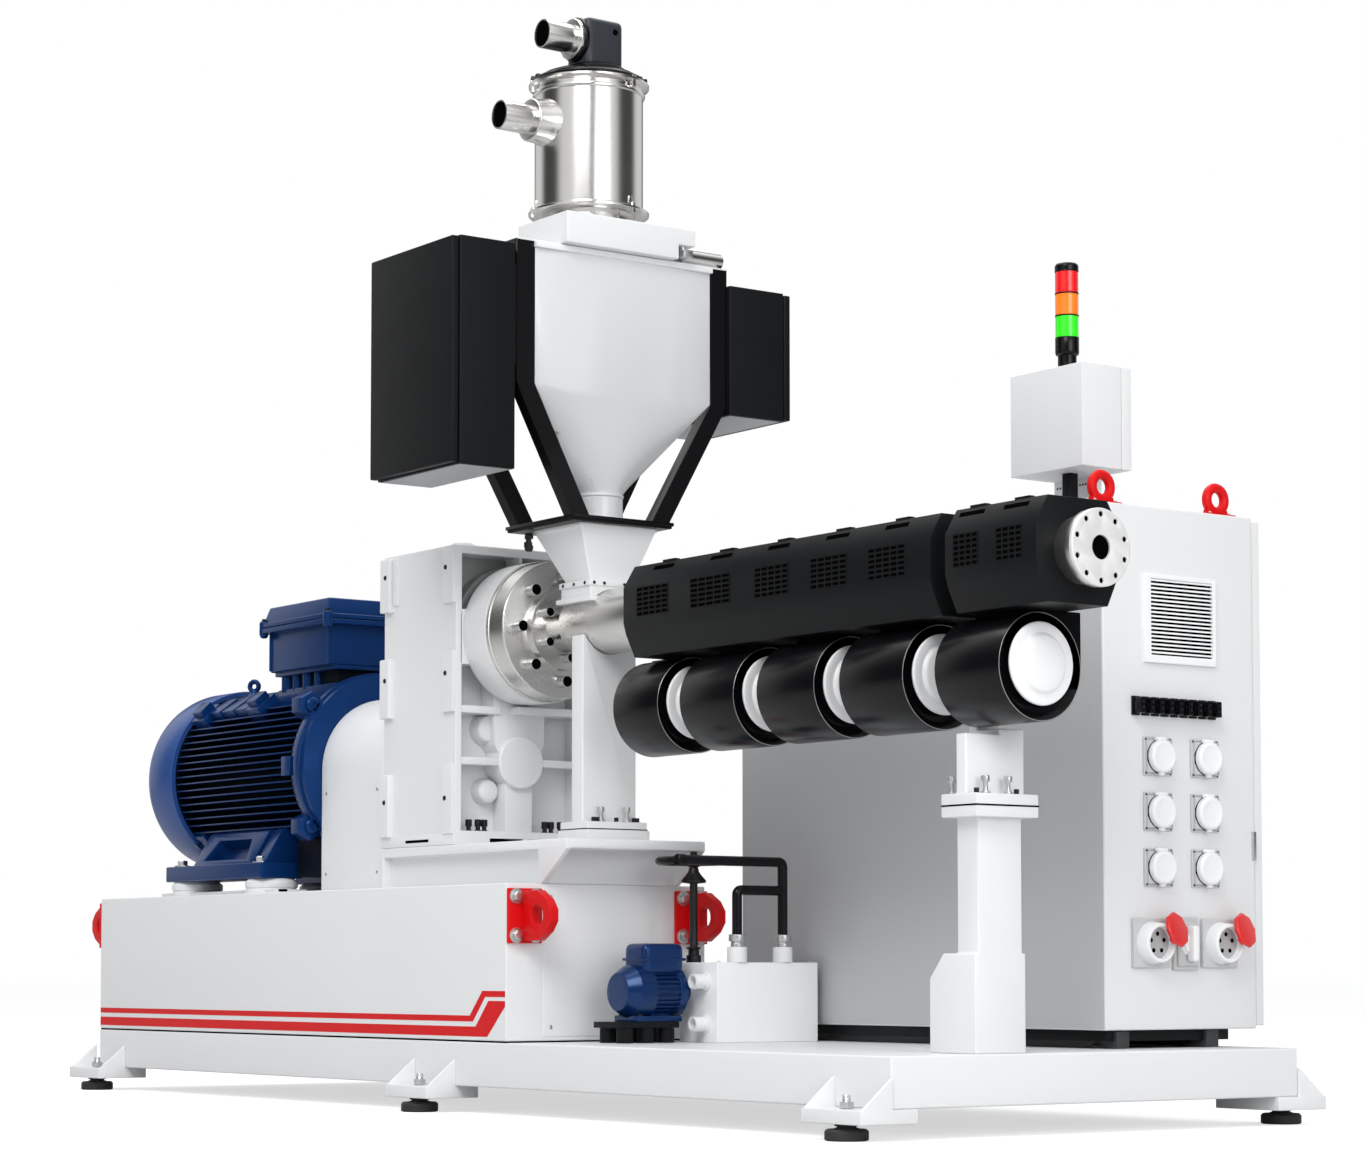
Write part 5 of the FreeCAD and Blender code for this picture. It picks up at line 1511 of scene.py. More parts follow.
@dataclass
class Loader:
    """Vacuum loader: foot, stainless body, clamps, lid and head."""

    x: float = -1290.0
    head_x: float = -1268.0
    inlet_z: float = 2040.0
    top_z: float = 2219.0
    drum_r: float = 113.0
    flange_r: float = 126.0
    tube_r: float = 30.0
    wall: float = 3.0

    def body(self) -> None:
        """Stainless drum with rolled flanges and a hollow side inlet."""
        lo, hi = spot("loader_body")
        x, low, h = self.x, lo.z, hi.z - lo.z
        r, f, tube, bore = self.drum_r, self.flange_r, self.tube_r, self.tube_r - self.wall
        drum = turned((x, AXIS_Y, low), Axis.Z, ((0, 112), (0.5, 120), (3, f), (7, f), (10, 120),
                                                 (13, r), (h - 30, r), (h - 29, r + 3),
                                                 (h - 25, r + 4.5), (h - 21, r + 3), (h - 20, r),
                                                 (h - 13, r), (h - 10, 120), (h - 7, f), (h - 3, f),
                                                 (h, 120)), 128, 0.0)
        fitted(drum, "loader_drum", STAINLESS, node="loader_body", smooth=50)
        z, end = self.inlet_z, AXIS_Y - 222
        inlet = turned((x, AXIS_Y - 100, z), Axis.BACK_Y,
                       ((0, tube), (122, tube), (122, bore), (30, bore)), 56, 0.5)
        fairing = turned((x, AXIS_Y - 96, z), Axis.BACK_Y,
                         ((0, 54), (14, 50), (26, 46), (52, 44), (54, 42), (54, 31)), 56, 1.0)
        fitted(joined([inlet, fairing]), "loader_inlet", STAINLESS, slot="stainless")
        fitted(rod((x, AXIS_Y - 150, z), (x, end + 4, z), bore - 0.4, 40, 0.0), "loader_inlet_shade",
               SHADOW)
        clips, pads = [], []
        for angle in (15, 105, 195, 250):
            a = math.radians(angle)
            place = (Matrix.Translation(Vector((x + f * math.cos(a) * 0.97,
                                                AXIS_Y + f * math.sin(a) * 0.97, low + 5)))
                     @ Matrix.Rotation(a, 4, "Z"))
            clips.append(laid(block((-4, -4, -12), (3, 4, 10), 1.2), place))
            pads.append(laid(block((-7, -5, 10), (-1, 5, 24), 1.0),
                             place @ Matrix.Translation((-6, 0, 0))))
            top = place @ Matrix.Translation((0, 0, h - 12))
            clips.append(laid(block((-5, -5, -16), (3, 5, 9), 1.2), top))
        fitted(joined(clips + pads), "loader_clips", STAINLESS)

    def head(self) -> None:
        """Domed lid with its clamp ring, head box and hollow top tube."""
        x, z, bore = self.x, spot("loader_body")[1].z, self.tube_r - self.wall
        lid = turned((x, AXIS_Y, z), Axis.Z, ((0, 118), (4, 119), (8, 116), (12, 108), (18, 98),
                                              (24, 82), (30, 66), (35, 44)), 96, 0.6)
        fitted(lid, "loader_lid_dome", BLACK_GLOSS, node="loader_lid", smooth=50)
        clamps = []
        for angle in (60, 120, 180, 240):
            a = math.radians(angle)
            place = Matrix.Translation((x, AXIS_Y, z)) @ Matrix.Rotation(a, 4, "Z")
            clamps.append(laid(block((86, -9, 2), (122, 9, 16), 2.5), place))
            clamps.append(laid(turned((106, 0, 14), Axis.Z, ((0, 7), (6, 7), (9, 4)), 16, 0.5), place))
        fitted(joined(clamps), "loader_lid_clamps", BLACK_GLOSS)
        high = spot("loader_elbow")[1]
        hx, hz = self.head_x, self.top_z
        box = beam((hx - 40, hx + 40), 46, (z + 24, high.z), 16.0, 6)
        fitted(box, "loader_head_box", HEAD_GREY, node="loader_elbow")
        base = turned((hx, AXIS_Y, z + 18), Axis.Z, ((0, 66), (8, 64), (14, 54)), 48, 1.0)
        plate_disc = turned((hx, AXIS_Y - 44, hz), Axis.BACK_Y, ((0, 46), (8, 46), (10, 44)), 56, 0.8)
        fitted(joined([base, plate_disc]), "loader_head_base", BLACK_GLOSS)
        tube = turned((hx, AXIS_Y - 46, hz), Axis.BACK_Y,
                      ((0, self.tube_r), (86, self.tube_r), (86, bore), (20, bore)), 56, 0.5)
        disc = turned((hx, AXIS_Y - 54, hz), Axis.BACK_Y, ((0, 43), (6, 43), (8, 41), (8, 31)), 56, 0.6)
        fitted(joined([tube, disc]), "loader_top_tube", STAINLESS, slot="stainless")
        shade = rod((hx, AXIS_Y - 60, hz), (hx, AXIS_Y - 128, hz), bore - 0.4, 40, 0.0)
        fitted(shade, "loader_top_tube_shade", SHADOW)
        # A screw head drawn wholly in the unlit black: painted shade.
        screws = [facing((hx + 40, AXIS_Y + 24, 2238), Axis.X)]
        fitted(set_out(pan_head(6.5), screws), "loader_head_screw_shades", SHADOW)

    def foot(self) -> None:
        """Junction block, stub and foot ring."""
        lo, hi = spot("junction_block")
        body = block((lo.x, lo.y, lo.z), (hi.x, AXIS_Y + 160, hi.z), 0.0)
        notch = block((hi.x - 60, AXIS_Y + 118, lo.z - 5), (hi.x + 10, AXIS_Y + 170, lo.z + 30), 0.0)
        fitted(rounded(carved(body, notch), 4.0, 3), "junction_box", WHITE, node="junction_block")
        stub = turned((-1190, AXIS_Y + 156, 1777), Axis.Y,
                      ((0, 22), (6, 22), (8, 16), (108, 16), (108, 13), (60, 13)), 40, 0.6)
        fitted(stub, "hopper_side_stub", STAINLESS, slot="stainless")
        fitted(rod((-1190, AXIS_Y + 200, 1777), (-1190, AXIS_Y + 262, 1777), 12.7, 28, 0.0),
               "hopper_stub_shade", SHADOW)
        valve = [block((-1200, AXIS_Y + 128, hi.z - 58), (-1128, AXIS_Y + 152, hi.z - 44), 2.0),
                 turned((-1150, AXIS_Y + 140, hi.z - 44), Axis.Z,
                        ((0, 8), (10, 8), (12, 12), (18, 12), (20, 8)), 24, 0.6)]
        fitted(joined(valve), "slide_valve", ZINC)
        base = spot("loader_foot")
        foot = turned((self.x, AXIS_Y, hi.z - 2), Axis.Z,
                      ((0, 100), (10, 100), (14, 97), (base[1].z - hi.z + 2, 97)), 96, 0.8)
        fitted(foot, "loader_foot_ring", STAINLESS, node="loader_foot")

    def build(self) -> None:
        """Whole loader."""
        self.foot()
        self.body()
        self.head()


# ---------------------------------------------------------------- cabinet

@dataclass
class Cabinet:
    """Control cabinet with its grille, sockets, door, operator head and signal tower."""

    slats: int = 19
    connectors: int = 9
    window_y: tuple[float, float] = (737.0, 897.0)
    window_z: tuple[float, float] = (876.0, 1019.0)
    plug_y: tuple[float, float] = (729.0, 906.0)
    plug_z: float = 339.0
    lamp_step: float = 43.4
    lid_y: tuple[float, float] = (752.0, 874.0)
    lid_z: tuple[float, float, float] = (686.0, 583.0, 479.0)

    def shell(self) -> None:
        """Case, door, hinges, feet and lifting eyes."""
        skinned("cabinet_body", "cabinet_case", SHELL_WHITE, 4.0, 3)
        skinned("cabinet_door", "cabinet_door_leaf", SHELL_WHITE, 2.5, 3, body=Body.DOOR)
        lo, hi = spot("cabinet_body")
        door = spot("cabinet_door")
        seal = block((lo.x + 14, hi.y + 1.5, lo.z + 14), (hi.x - 14, hi.y + 4.6, hi.z - 14), 0.8)
        fitted(seal, "cabinet_door_seal", RUBBER, Body.DOOR)
        handle = turned((hi.x - 46, door[1].y - 11, (560 + 700) / 2), Axis.Y,
                        ((0, 20), (3, 20), (5, 17), (11, 15)), 40, 0.8)
        fitted(handle, "cabinet_door_lock", BLACK_OXIDE, Body.DOOR)
        skinned("door_hinges", "cabinet_hinges", SHELL_WHITE, 1.0)
        latch = [block((hi.x - 1, 1000, 497), (hi.x + 5, 1008, 552), 1.0)]
        fitted(joined(latch), "cabinet_latch_plate", ZINC)
        plinth = block((lo.x + 16, lo.y + 16, lo.z - 20), (hi.x - 16, hi.y - 60, lo.z + 4), 1.0)
        fitted(plinth, "cabinet_plinth", BLACK)
        sites = [(x, y) for x in (lo.x + 60, hi.x - 60) for y in (lo.y + 50, hi.y - 110)]
        base = spot("cabinet_feet")
        foot = turned((0, 0, 0), Axis.Z, ((0, 24), (6, 24), (8, 18), (24, 18), (26, 24), (34, 24)), 40,
                      0.8)
        fitted(stood(foot, [(x, y, base[0].z) for x, y in sites]), "cabinet_foot_set", RUBBER,
               node="cabinet_feet")
        eyes = [(hi.x - 34, y) for y in (lo.y + 30, hi.y - 62)]
        pads, bolts, rings = [], [], []
        for x, y in eyes:
            rings.append(ring((x, y, hi.z + 33), Axis.X, 23, 9.5, 48))
            rings.append(block((x - 8, y - 26, hi.z + 2), (x + 8, y + 26, hi.z + 14), 3.0, 3))
            pads.append(block((x - 17, y - 38, hi.z - 0.5), (x + 17, y + 38, hi.z + 5), 1.5))
            for dy in (-26, 26):
                for dx in (-11, 11):
                    bolts.append(facing((x + dx, y + dy, hi.z + 5), Axis.Z))
        fitted(joined(rings), "cabinet_eye_rings", RED, node="cabinet_eyes")
        fitted(joined(pads), "cabinet_eye_feet", RED)
        fitted(set_out(cap_head(3.2, 3.0), bolts), "cabinet_eye_bolts", ZINC)
        ledge = block((lo.x + 6, lo.y - 0.8, hi.z - 26), (hi.x - 6, lo.y + 3, hi.z - 24.2), 0.0)
        seam = block((lo.x + 6, lo.y - 0.4, lo.z + 22), (hi.x - 6, lo.y + 3, lo.z + 23.6), 0.0)
        fitted(joined([ledge, seam]), "cabinet_seams", DARK)
        strip = perforated(150, 16, 19, 2, 4.6, 1.2)
        place = (Matrix.Translation((-300, lo.y - 0.2, hi.z - 13))
                 @ Matrix.Rotation(math.radians(90), 4, "X"))
        fitted(laid(strip, place), "cabinet_top_vent", PLATE_GREY)

    def grille(self) -> None:
        """Louvred vent with its frame, and the grey sheet on the barrel side, painted as shade."""
        lo, hi = spot("vent_grille")
        x = spot("cabinet_body")[1].x
        frame = block((x - 1, lo.y, lo.z), (hi.x, hi.y, hi.z), 0.0)
        (y0, y1), (z0, z1) = self.window_y, self.window_z
        frame = rounded(carved(frame, block((x + 0.6, y0, z0), (hi.x + 5, y1, z1), 0.0)), 1.6, 3)
        fitted(frame, "grille_frame", WHITE_PLASTIC, node="vent_grille")
        step = (z1 - z0) / self.slats
        slat = plate(((0, 0, -1.0), (4.6, 0, -1.0), (4.6, 0, -4.6), (0, 0, -3.6)), (0, y1 - y0, 0), 0.3)
        places = [Matrix.Translation((x + 0.8, y0, z0 + (i + 1) * step)) for i in range(self.slats)]
        fitted(set_out(slat, places), "grille_slats", WHITE_PLASTIC)
        fitted(block((x + 0.2, y0, z0), (x + 0.9, y1, z1), 0.0), "grille_shade", SHADOW)
        # A grey sheet over the cabinet's barrel-side face: painted shade.
        side = spot("cabinet_body")
        sheet = block((side[0].x + 3, side[0].y - 0.6, side[0].z + 3),
                      (side[1].x - 4, side[0].y + 2, side[1].z - 3), 0.5)
        fitted(sheet, "cabinet_side_shade_sheet", SIDE_SHADE_GREY)

    def connector_set(self) -> None:
        """Row of heavy connectors with side levers."""
        lo, hi = spot("connector_row")
        x = lo.x
        places = []
        base = joined([block((-0.5, -9.5, -18), (5, 9.5, 18), 1.5),
                       block((4, -6.5, -15), (24, 6.5, 15), 2.5, 3),
                       block((8, -8, -9), (18, 8, 5), 1.5)])
        lever = joined([block((19, -2.6, -7), (24.6, 2.6, -1), 0.8),
                        block((19, -2.6, 4), (24.6, 2.6, 9), 0.8)])
        zc = (lo.z + hi.z) / 2
        for i in range(self.connectors):
            place = Matrix.Translation((x, lo.y + 10 + i * (hi.y - lo.y - 20) / (self.connectors - 1),
                                        zc))
            places.append(place)
        fitted(set_out(base, places), "connector_housings", BLACK_GLOSS, node="connector_row")
        fitted(set_out(lever, places), "connector_levers", BLACK_OXIDE)

    def lidded(self) -> None:
        """Six flanged sockets with sprung round lids."""
        x = spot("round_sockets")[0].x
        flange = joined([block((-0.5, -36, -36), (5, 36, 36), 2.5, 3),
                         block((4, -32, -32), (9, 32, 32), 5.0, 3)])
        lid = turned((8, 0, 0), Axis.X, ((0, 27), (3, 31), (12, 31), (15, 28), (15.6, 24), (14.6, 22),
                                         (15.4, 8)), 56, 0.5)
        tab = joined([block((6, -11, 25), (17, 11, 36), 2.0),
                      rod((12, -14, 33), (12, 14, 33), 3.4, 16, 0.5)])
        grip = block((10, -6, -36), (17, 6, -26), 2.0)
        one = joined([lid, tab, grip])
        places = [Matrix.Translation((x, y, z)) for y in self.lid_y for z in self.lid_z]
        fitted(set_out(one, places), "lidded_sockets", WHITE_PLASTIC, node="round_sockets", smooth=40)
        fitted(set_out(flange, places), "lidded_socket_frames", SOCKET_GREY)
        screws = [facing((x + 5, y + dy, z + dz), Axis.X) for y in self.lid_y for z in self.lid_z
                  for dy in (-31.5, 31.5) for dz in (-31.5, 31.5)]
        fitted(set_out(pan_head(2.6), screws), "socket_screws", DARK)
        # Unlit black rings round each lid: painted shade in the seam between lid and frame.
        gaps = [turned((x + 7, y, z), Axis.X, ((0, 31.8), (2.2, 31.8)), 48, 0.0) for y in self.lid_y
                for z in self.lid_z]
        fitted(joined(gaps), "socket_lid_gap_shades", SHADOW)

    def heavy(self) -> None:
        """Two five-pin sockets with open red lids, and the isolator between them."""
        x = spot("plug_sockets")[0].x
        z = self.plug_z
        plates, faces, pin_hole_shades, lids, frames = [], [], [], [], []
        for y in self.plug_y:
            frames.append(block((x - 0.5, y - 46, z - 46), (x + 9, y + 46, z + 46), 3.0, 3))
            plates.append(turned((x + 8, y, z), Axis.X,
                                 ((0, 40), (6, 38), (24, 37), (27, 35), (27, 30), (14, 29)), 56, 0.8))
            faces.append(turned((x + 18, y, z), Axis.X, ((0, 29.5), (4.5, 29.5)), 48, 0.0))
            # Unlit black discs on the socket face: painted shade in the contact holes.
            for i in range(5):
                a = math.radians(90 + 72 * i)
                pin_hole_shades.append(turned((x + 22.4, y + 17 * math.cos(a), z + 17 * math.sin(a)), Axis.X,
                                   ((0, 4.2), (0.5, 4.2), (0.5, 3), (0.3, 2)), 16, 0.0))
            tilt = (Matrix.Translation((x + 34, y + 33, z + 23))
                    @ Matrix.Rotation(math.radians(-42), 4, "X")
                    @ Matrix.Rotation(math.radians(-22), 4, "Y"))
            lid = turned((0, 0, 0), Axis.X, ((0, 31), (3, 34), (8, 34), (10, 31)), 8, 0.8)
            arm = block((-2, -7, -32), (7, 7, -18), 2.0)
            lids.append(laid(joined([lid, arm]), tilt))
        fitted(joined(plates), "power_socket_bodies", WHITE_PLASTIC, node="plug_sockets")
        fitted(joined(frames), "power_socket_frames", SOCKET_GREY)
        fitted(joined(faces), "power_socket_faces", PLATE_GREY)
        fitted(joined(pin_hole_shades), "power_socket_pin_hole_shades", SHADOW)
        fitted(joined(lids), "power_socket_lids", RED_PLASTIC)
        low, high = spot("main_switch")
        base = joined([block((x - 0.5, low.y, low.z), (x + 8, high.y, high.z), 3.0, 3),
                       block((x + 7, low.y + 6, low.z + 8), (x + 14, high.y - 6, high.z - 8), 4.0, 3)])
        fitted(base, "isolator_base", SOCKET_GREY, node="main_switch")
        y, z = (low.y + high.y) / 2, (low.z + high.z) / 2
        knob = joined([turned((x + 13, y, z), Axis.X, ((0, 22), (4, 22), (6, 19), (10, 18)), 40, 0.8),
                       block((x + 16, y - 8, z - 33), (x + 36, y + 8, z + 33), 6.0, 4)])
        fitted(knob, "isolator_handle", WHITE_PLASTIC)

    def head(self) -> None:
        """Operator head on its post, with a door line and the signal tower."""
        lo, hi = spot("control_head")
        seam = hi.y - 26
        fitted(block((lo.x, lo.y, lo.z), (hi.x, seam, hi.z), 2.0, 3), "operator_case", SHELL_WHITE,
               node="control_head")
        fitted(block((lo.x, seam + 1.4, lo.z), (hi.x, hi.y, hi.z), 2.0, 3), "operator_door",
               SHELL_WHITE)
        fitted(block((lo.x + 2, seam - 4, lo.z + 2), (hi.x - 1.5, seam + 5, hi.z - 2), 0.0),
               "operator_door_gap", PLATE_GREY)
        rail = block((lo.x + 6, hi.y - 20, lo.z - 40), (lo.x + 128, hi.y - 8, lo.z + 2), 1.5)
        fitted(rail, "operator_vent_rail", SHELL_WHITE)
        # The vent holes are unlit black dots on the rail: painted shade, not cut.
        holes = [facing((lo.x + 16 + 8 * i, hi.y - 20, lo.z - 14), Axis.BACK_Y) for i in range(14)]
        vent_dot_shade = turned((0, 0, 0), Axis.Z, ((0, 2.2), (0.5, 2.2)), 12, 0.0)
        fitted(set_out(vent_dot_shade, holes), "operator_vent_hole_shades", SHADOW)
        back = turned((lo.x + 1, (lo.y + hi.y) / 2, (lo.z + hi.z) / 2 + 30), Axis.BACK_X,
                      ((0, 13), (1, 13), (1, 7), (0.6, 6)), 32, 0.3)
        fitted(back, "operator_lock", BLACK_OXIDE)
        skinned("head_bracket", "operator_bracket", BLACK, 2.0)
        feet = spot("head_bracket")
        places = [facing((feet[0].x + dx, feet[0].y + dy, feet[0].z + 8), Axis.Z) for dx in (12, 68)
                  for dy in (12, 68)]
        fitted(set_out(hex_head(5, 4, 1.2), places), "operator_bracket_bolts", ZINC)
        tower_lo, tower_hi = spot("signal_tower")
        x, y, _ = middle("signal_tower")
        z = tower_lo.z
        stem = turned((x, y, z), Axis.Z, ((0, 22), (6, 22), (8, 18), (34, 18), (36, 22), (40, 23),
                                          (67, 23)), 48, 0.6)
        cap = turned((x, y, tower_hi.z - 17), Axis.Z, ((0, 23), (12, 23), (16, 20), (17, 12)), 48, 0.8)
        rings = [turned((x, y, z + 67 + self.lamp_step * i), Axis.Z, ((0, 23.2), (2.0, 23.2)), 48, 0.5)
                 for i in range(4)]
        fitted(joined([stem, cap] + rings), "tower_body", BLACK_GLOSS, node="signal_tower")
        for i, (name, coat) in enumerate((("green", LAMP_GREEN), ("amber", LAMP_AMBER),
                                          ("red", LAMP_RED))):
            profile = [(0.0, 21.5)]
            for k in range(1, 14):
                profile.append((k * 3.15, 22.4 if k % 2 else 22.0))
            fitted(turned((x, y, z + 68.5 + self.lamp_step * i), Axis.Z, profile, 48, 0.0),
                   "tower_lamp_" + name, coat, slot="lamp_plastic", smooth=60)

    def build(self) -> None:
        """Whole cabinet."""
        self.shell()
        self.grille()
        self.connector_set()
        self.lidded()
        self.heavy()
        self.head()


# ---------------------------------------------------------------- cooling water set

@dataclass
class WaterSet:
    """Water tank, pump, valve and pipes below the barrel."""

    pipe_r: float = 10.2
    pipe_x: float = -975.0
    pipe_y: tuple[float, float] = (404.0, 519.0)
    pipe_z: tuple[float, float] = (449.0, 507.0)
    bend: float = 22.0
    pump_at: tuple[float, float, float] = (-1070.0, 178.0, 245.0)

    def nut(self) -> Obj:
        """A knurled union nut standing up from the origin."""
        return turned((0, 0, 0), Axis.Z, ((0, 13), (8, 13), (9, 12), (12, 13), (13, 17), (25, 17),
                                          (26, 16), (26, 10)), 24, 0.4)

    def run(self, points: Sequence[Point]) -> Obj:
        """A round pipe through corner points, with the corners rounded.

        Args:
            points: ends and corners.

        Returns:
            The pipe's mesh.
        """
        curve = bpy.data.curves.new("pipe_run", "CURVE")
        curve.dimensions, curve.bevel_depth, curve.bevel_resolution = "3D", self.pipe_r, 5
        curve.use_fill_caps, curve.resolution_u = True, 10
        pts = [Vector(p) for p in points]
        line: list[Vector] = [pts[0]]
        for a, b, c in zip(pts, pts[1:], pts[2:]):
            line += [b + (a - b).normalized() * self.bend, b, b + (c - b).normalized() * self.bend]
        line.append(pts[-1])
        spline = curve.splines.new("NURBS")
        spline.points.add(len(line) - 1)
        for point, co in zip(spline.points, line):
            point.co = (*co, 1.0)
        spline.order_u = 3
        spline.use_endpoint_u = True
        only(placed("pipe_run", curve))
        bpy.ops.object.convert(target="MESH")
        return bpy.context.active_object

    def tank(self) -> None:
        """Tank, lid screws and hollow stubs."""
        lo, hi = spot("water_tank")
        y0 = lo.y + 32
        body = block((lo.x, y0, lo.z), (hi.x, hi.y, hi.z), 3.0, 3)
        # The tank wears the lighter white: painted light.
        fitted(body, "water_tank_case", TANK_LIT_WHITE, node="water_tank")
        stub = turned((0, 0, 0), Axis.Z, ((0, 19), (4, 19), (6, 15), (32, 15), (32, 11), (14, 11)), 36,
                      0.6)
        stubs = stood(stub, [(-1002, y0, z) for z in (266, 181)], Axis.BACK_Y)
        fitted(stubs, "tank_stubs", WHITE)
        screws = [facing((x, y, hi.z + 0.8), Axis.Z) for x in (lo.x + 12, hi.x - 12)
                  for y in (y0 + 12, hi.y - 12)]
        fitted(set_out(pan_head(4), screws), "tank_screws", ZINC)

    def pipes(self) -> None:
        """Black pipes, their white posts and union nuts."""
        hi = spot("water_tank")[1]
        x, (ya, yb) = self.pipe_x, self.pipe_y
        end = spot("pipework")[0].y + 3
        za, zb = self.pipe_z
        low = self.run(((x, ya, hi.z), (x, ya, za), (x, yb, za)))
        tall = self.run(((x, yb, hi.z), (x, yb, zb), (x, end, zb)))
        fitted(joined([low, tall]), "water_pipes", BLACK_GLOSS, node="pipework", smooth=60)
        nuts = [facing((x, y, hi.z + 30), Axis.Z) for y in (ya, yb)]
        fitted(set_out(self.nut(), nuts), "union_nuts", ZINC)
        post = turned((0, 0, 0), Axis.Z, ((0, 20), (29, 20), (31, 18.5)), 48, 0.8)
        fitted(stood(post, [(x, y, hi.z) for y in (ya, yb)]), "pipe_posts", WHITE)
        stop = turned((x, end + 22, zb), Axis.BACK_Y, ((0, 9), (3, 12), (20, 12), (22, 10)), 24, 0.5)
        fitted(stop, "pipe_end_cap", BLACK_GLOSS)

    def valve(self) -> None:
        """Stem, bonnet and spoked handwheel."""
        lo = spot("valve_stem")[0]
        x, y, z = middle("valve_handwheel")
        stem = turned((x, y, lo.z), Axis.Z, ((0, 15), (14, 15), (16, 11), (26, 11), (28, 15), (30, 15),
                                             (32, 8), (z - lo.z - 46, 8), (z - lo.z - 44, 25),
                                             (z - lo.z - 39, 25), (z - lo.z - 30, 17),
                                             (z - lo.z - 22, 11), (z - lo.z - 12.4, 9)), 40, 0.5)
        pin = turned((x, y, z - 12.4), Axis.Z, ((0, 4.9), (24.6, 4.9), (24.7, 8), (30, 8), (32, 6)), 6,
                     0.3)
        fitted(joined([stem, pin]), "valve_spindle", BLACK_OXIDE, node="valve_stem")
        rim = ring((x, y, z), Axis.Z, 70.0, 8.5, 72)
        hub = turned((x, y, z - 12), Axis.Z, ((0, 12), (5, 15), (12, 17), (20, 14), (24, 12)), 36, 0.6)
        spokes = []
        for i in range(4):
            a = math.radians(20 + 90 * i)
            d = Vector((math.cos(a), math.sin(a), 0))
            centre = Vector((x, y, z))
            spokes.append(rod(centre + d * 12, centre + d * 68, 4.6, 16, 0.0))
        fitted(joined([rim, hub] + spokes), "valve_wheel", BLACK_GLOSS, Body.WHEEL, "valve_handwheel",
               smooth=40)

    def pump(self) -> None:
        """Small finned pump motor on rubber mounts."""
        x, y0, z = self.pump_at
        tank = spot("water_tank")[0].y + 32
        body = turned((x, y0, z), Axis.Y, ((0, 37), (2, 39), (25, 54), (62, 54), (64, 46), (118, 46),
                                           (120, 52), (138, 52), (140, 40), (146, 22), (tank - y0, 20)),
                      64, 0.8)
        fins = [body]
        for i in range(32):
            a = math.radians(11.25 * i)
            if abs(math.sin(a) - 1) < 0.08:
                continue
            fin = block((x + 42, y0 + 62, z - 1.3), (x + 52, y0 + 120, z + 1.3), 0.5)
            turn = (Matrix.Translation((x, 0, z)) @ Matrix.Rotation(a, 4, "Y")
                    @ Matrix.Translation((-x, 0, -z)))
            fins.append(laid(fin, turn))
        fins.append(block((x - 38, y0 + 40, z + 34), (x + 38, y0 + 138, z + 97), 17.0, 6))
        fins.append(block((x - 40, y0 + 38, z + 62), (x + 40, y0 + 140, z + 68), 2.5))
        fins.append(block((x - 40, y0 + 20, 186), (x + 40, y0 + 130, 198), 2.0))
        fins.append(block((x - 26, y0 + 26, 192), (x + 26, y0 + 124, z - 30), 4.0))
        fitted(joined(fins), "pump_motor_case", PUMP_BLUE, node="pump_motor")
        gland = turned((x - 34, y0 + 88, z + 60), Axis.BACK_X,
                       ((0, 10), (4, 10), (4, 8), (12, 8), (14, 5)), 6, 0.4)
        bolts = [facing((x + dx, y0 + dy, 198), Axis.Z) for dx in (-32, 32) for dy in (32, 118)]
        fitted(joined([gland, set_out(hex_head(5, 4, 1), bolts)]), "pump_fittings", BLACK_OXIDE)
        skinned("pump_mount", "pump_mount_set", BLACK, 1.0)

    def build(self) -> None:
        """Whole water set."""
        self.tank()
        self.pipes()
        self.valve()
        self.pump()


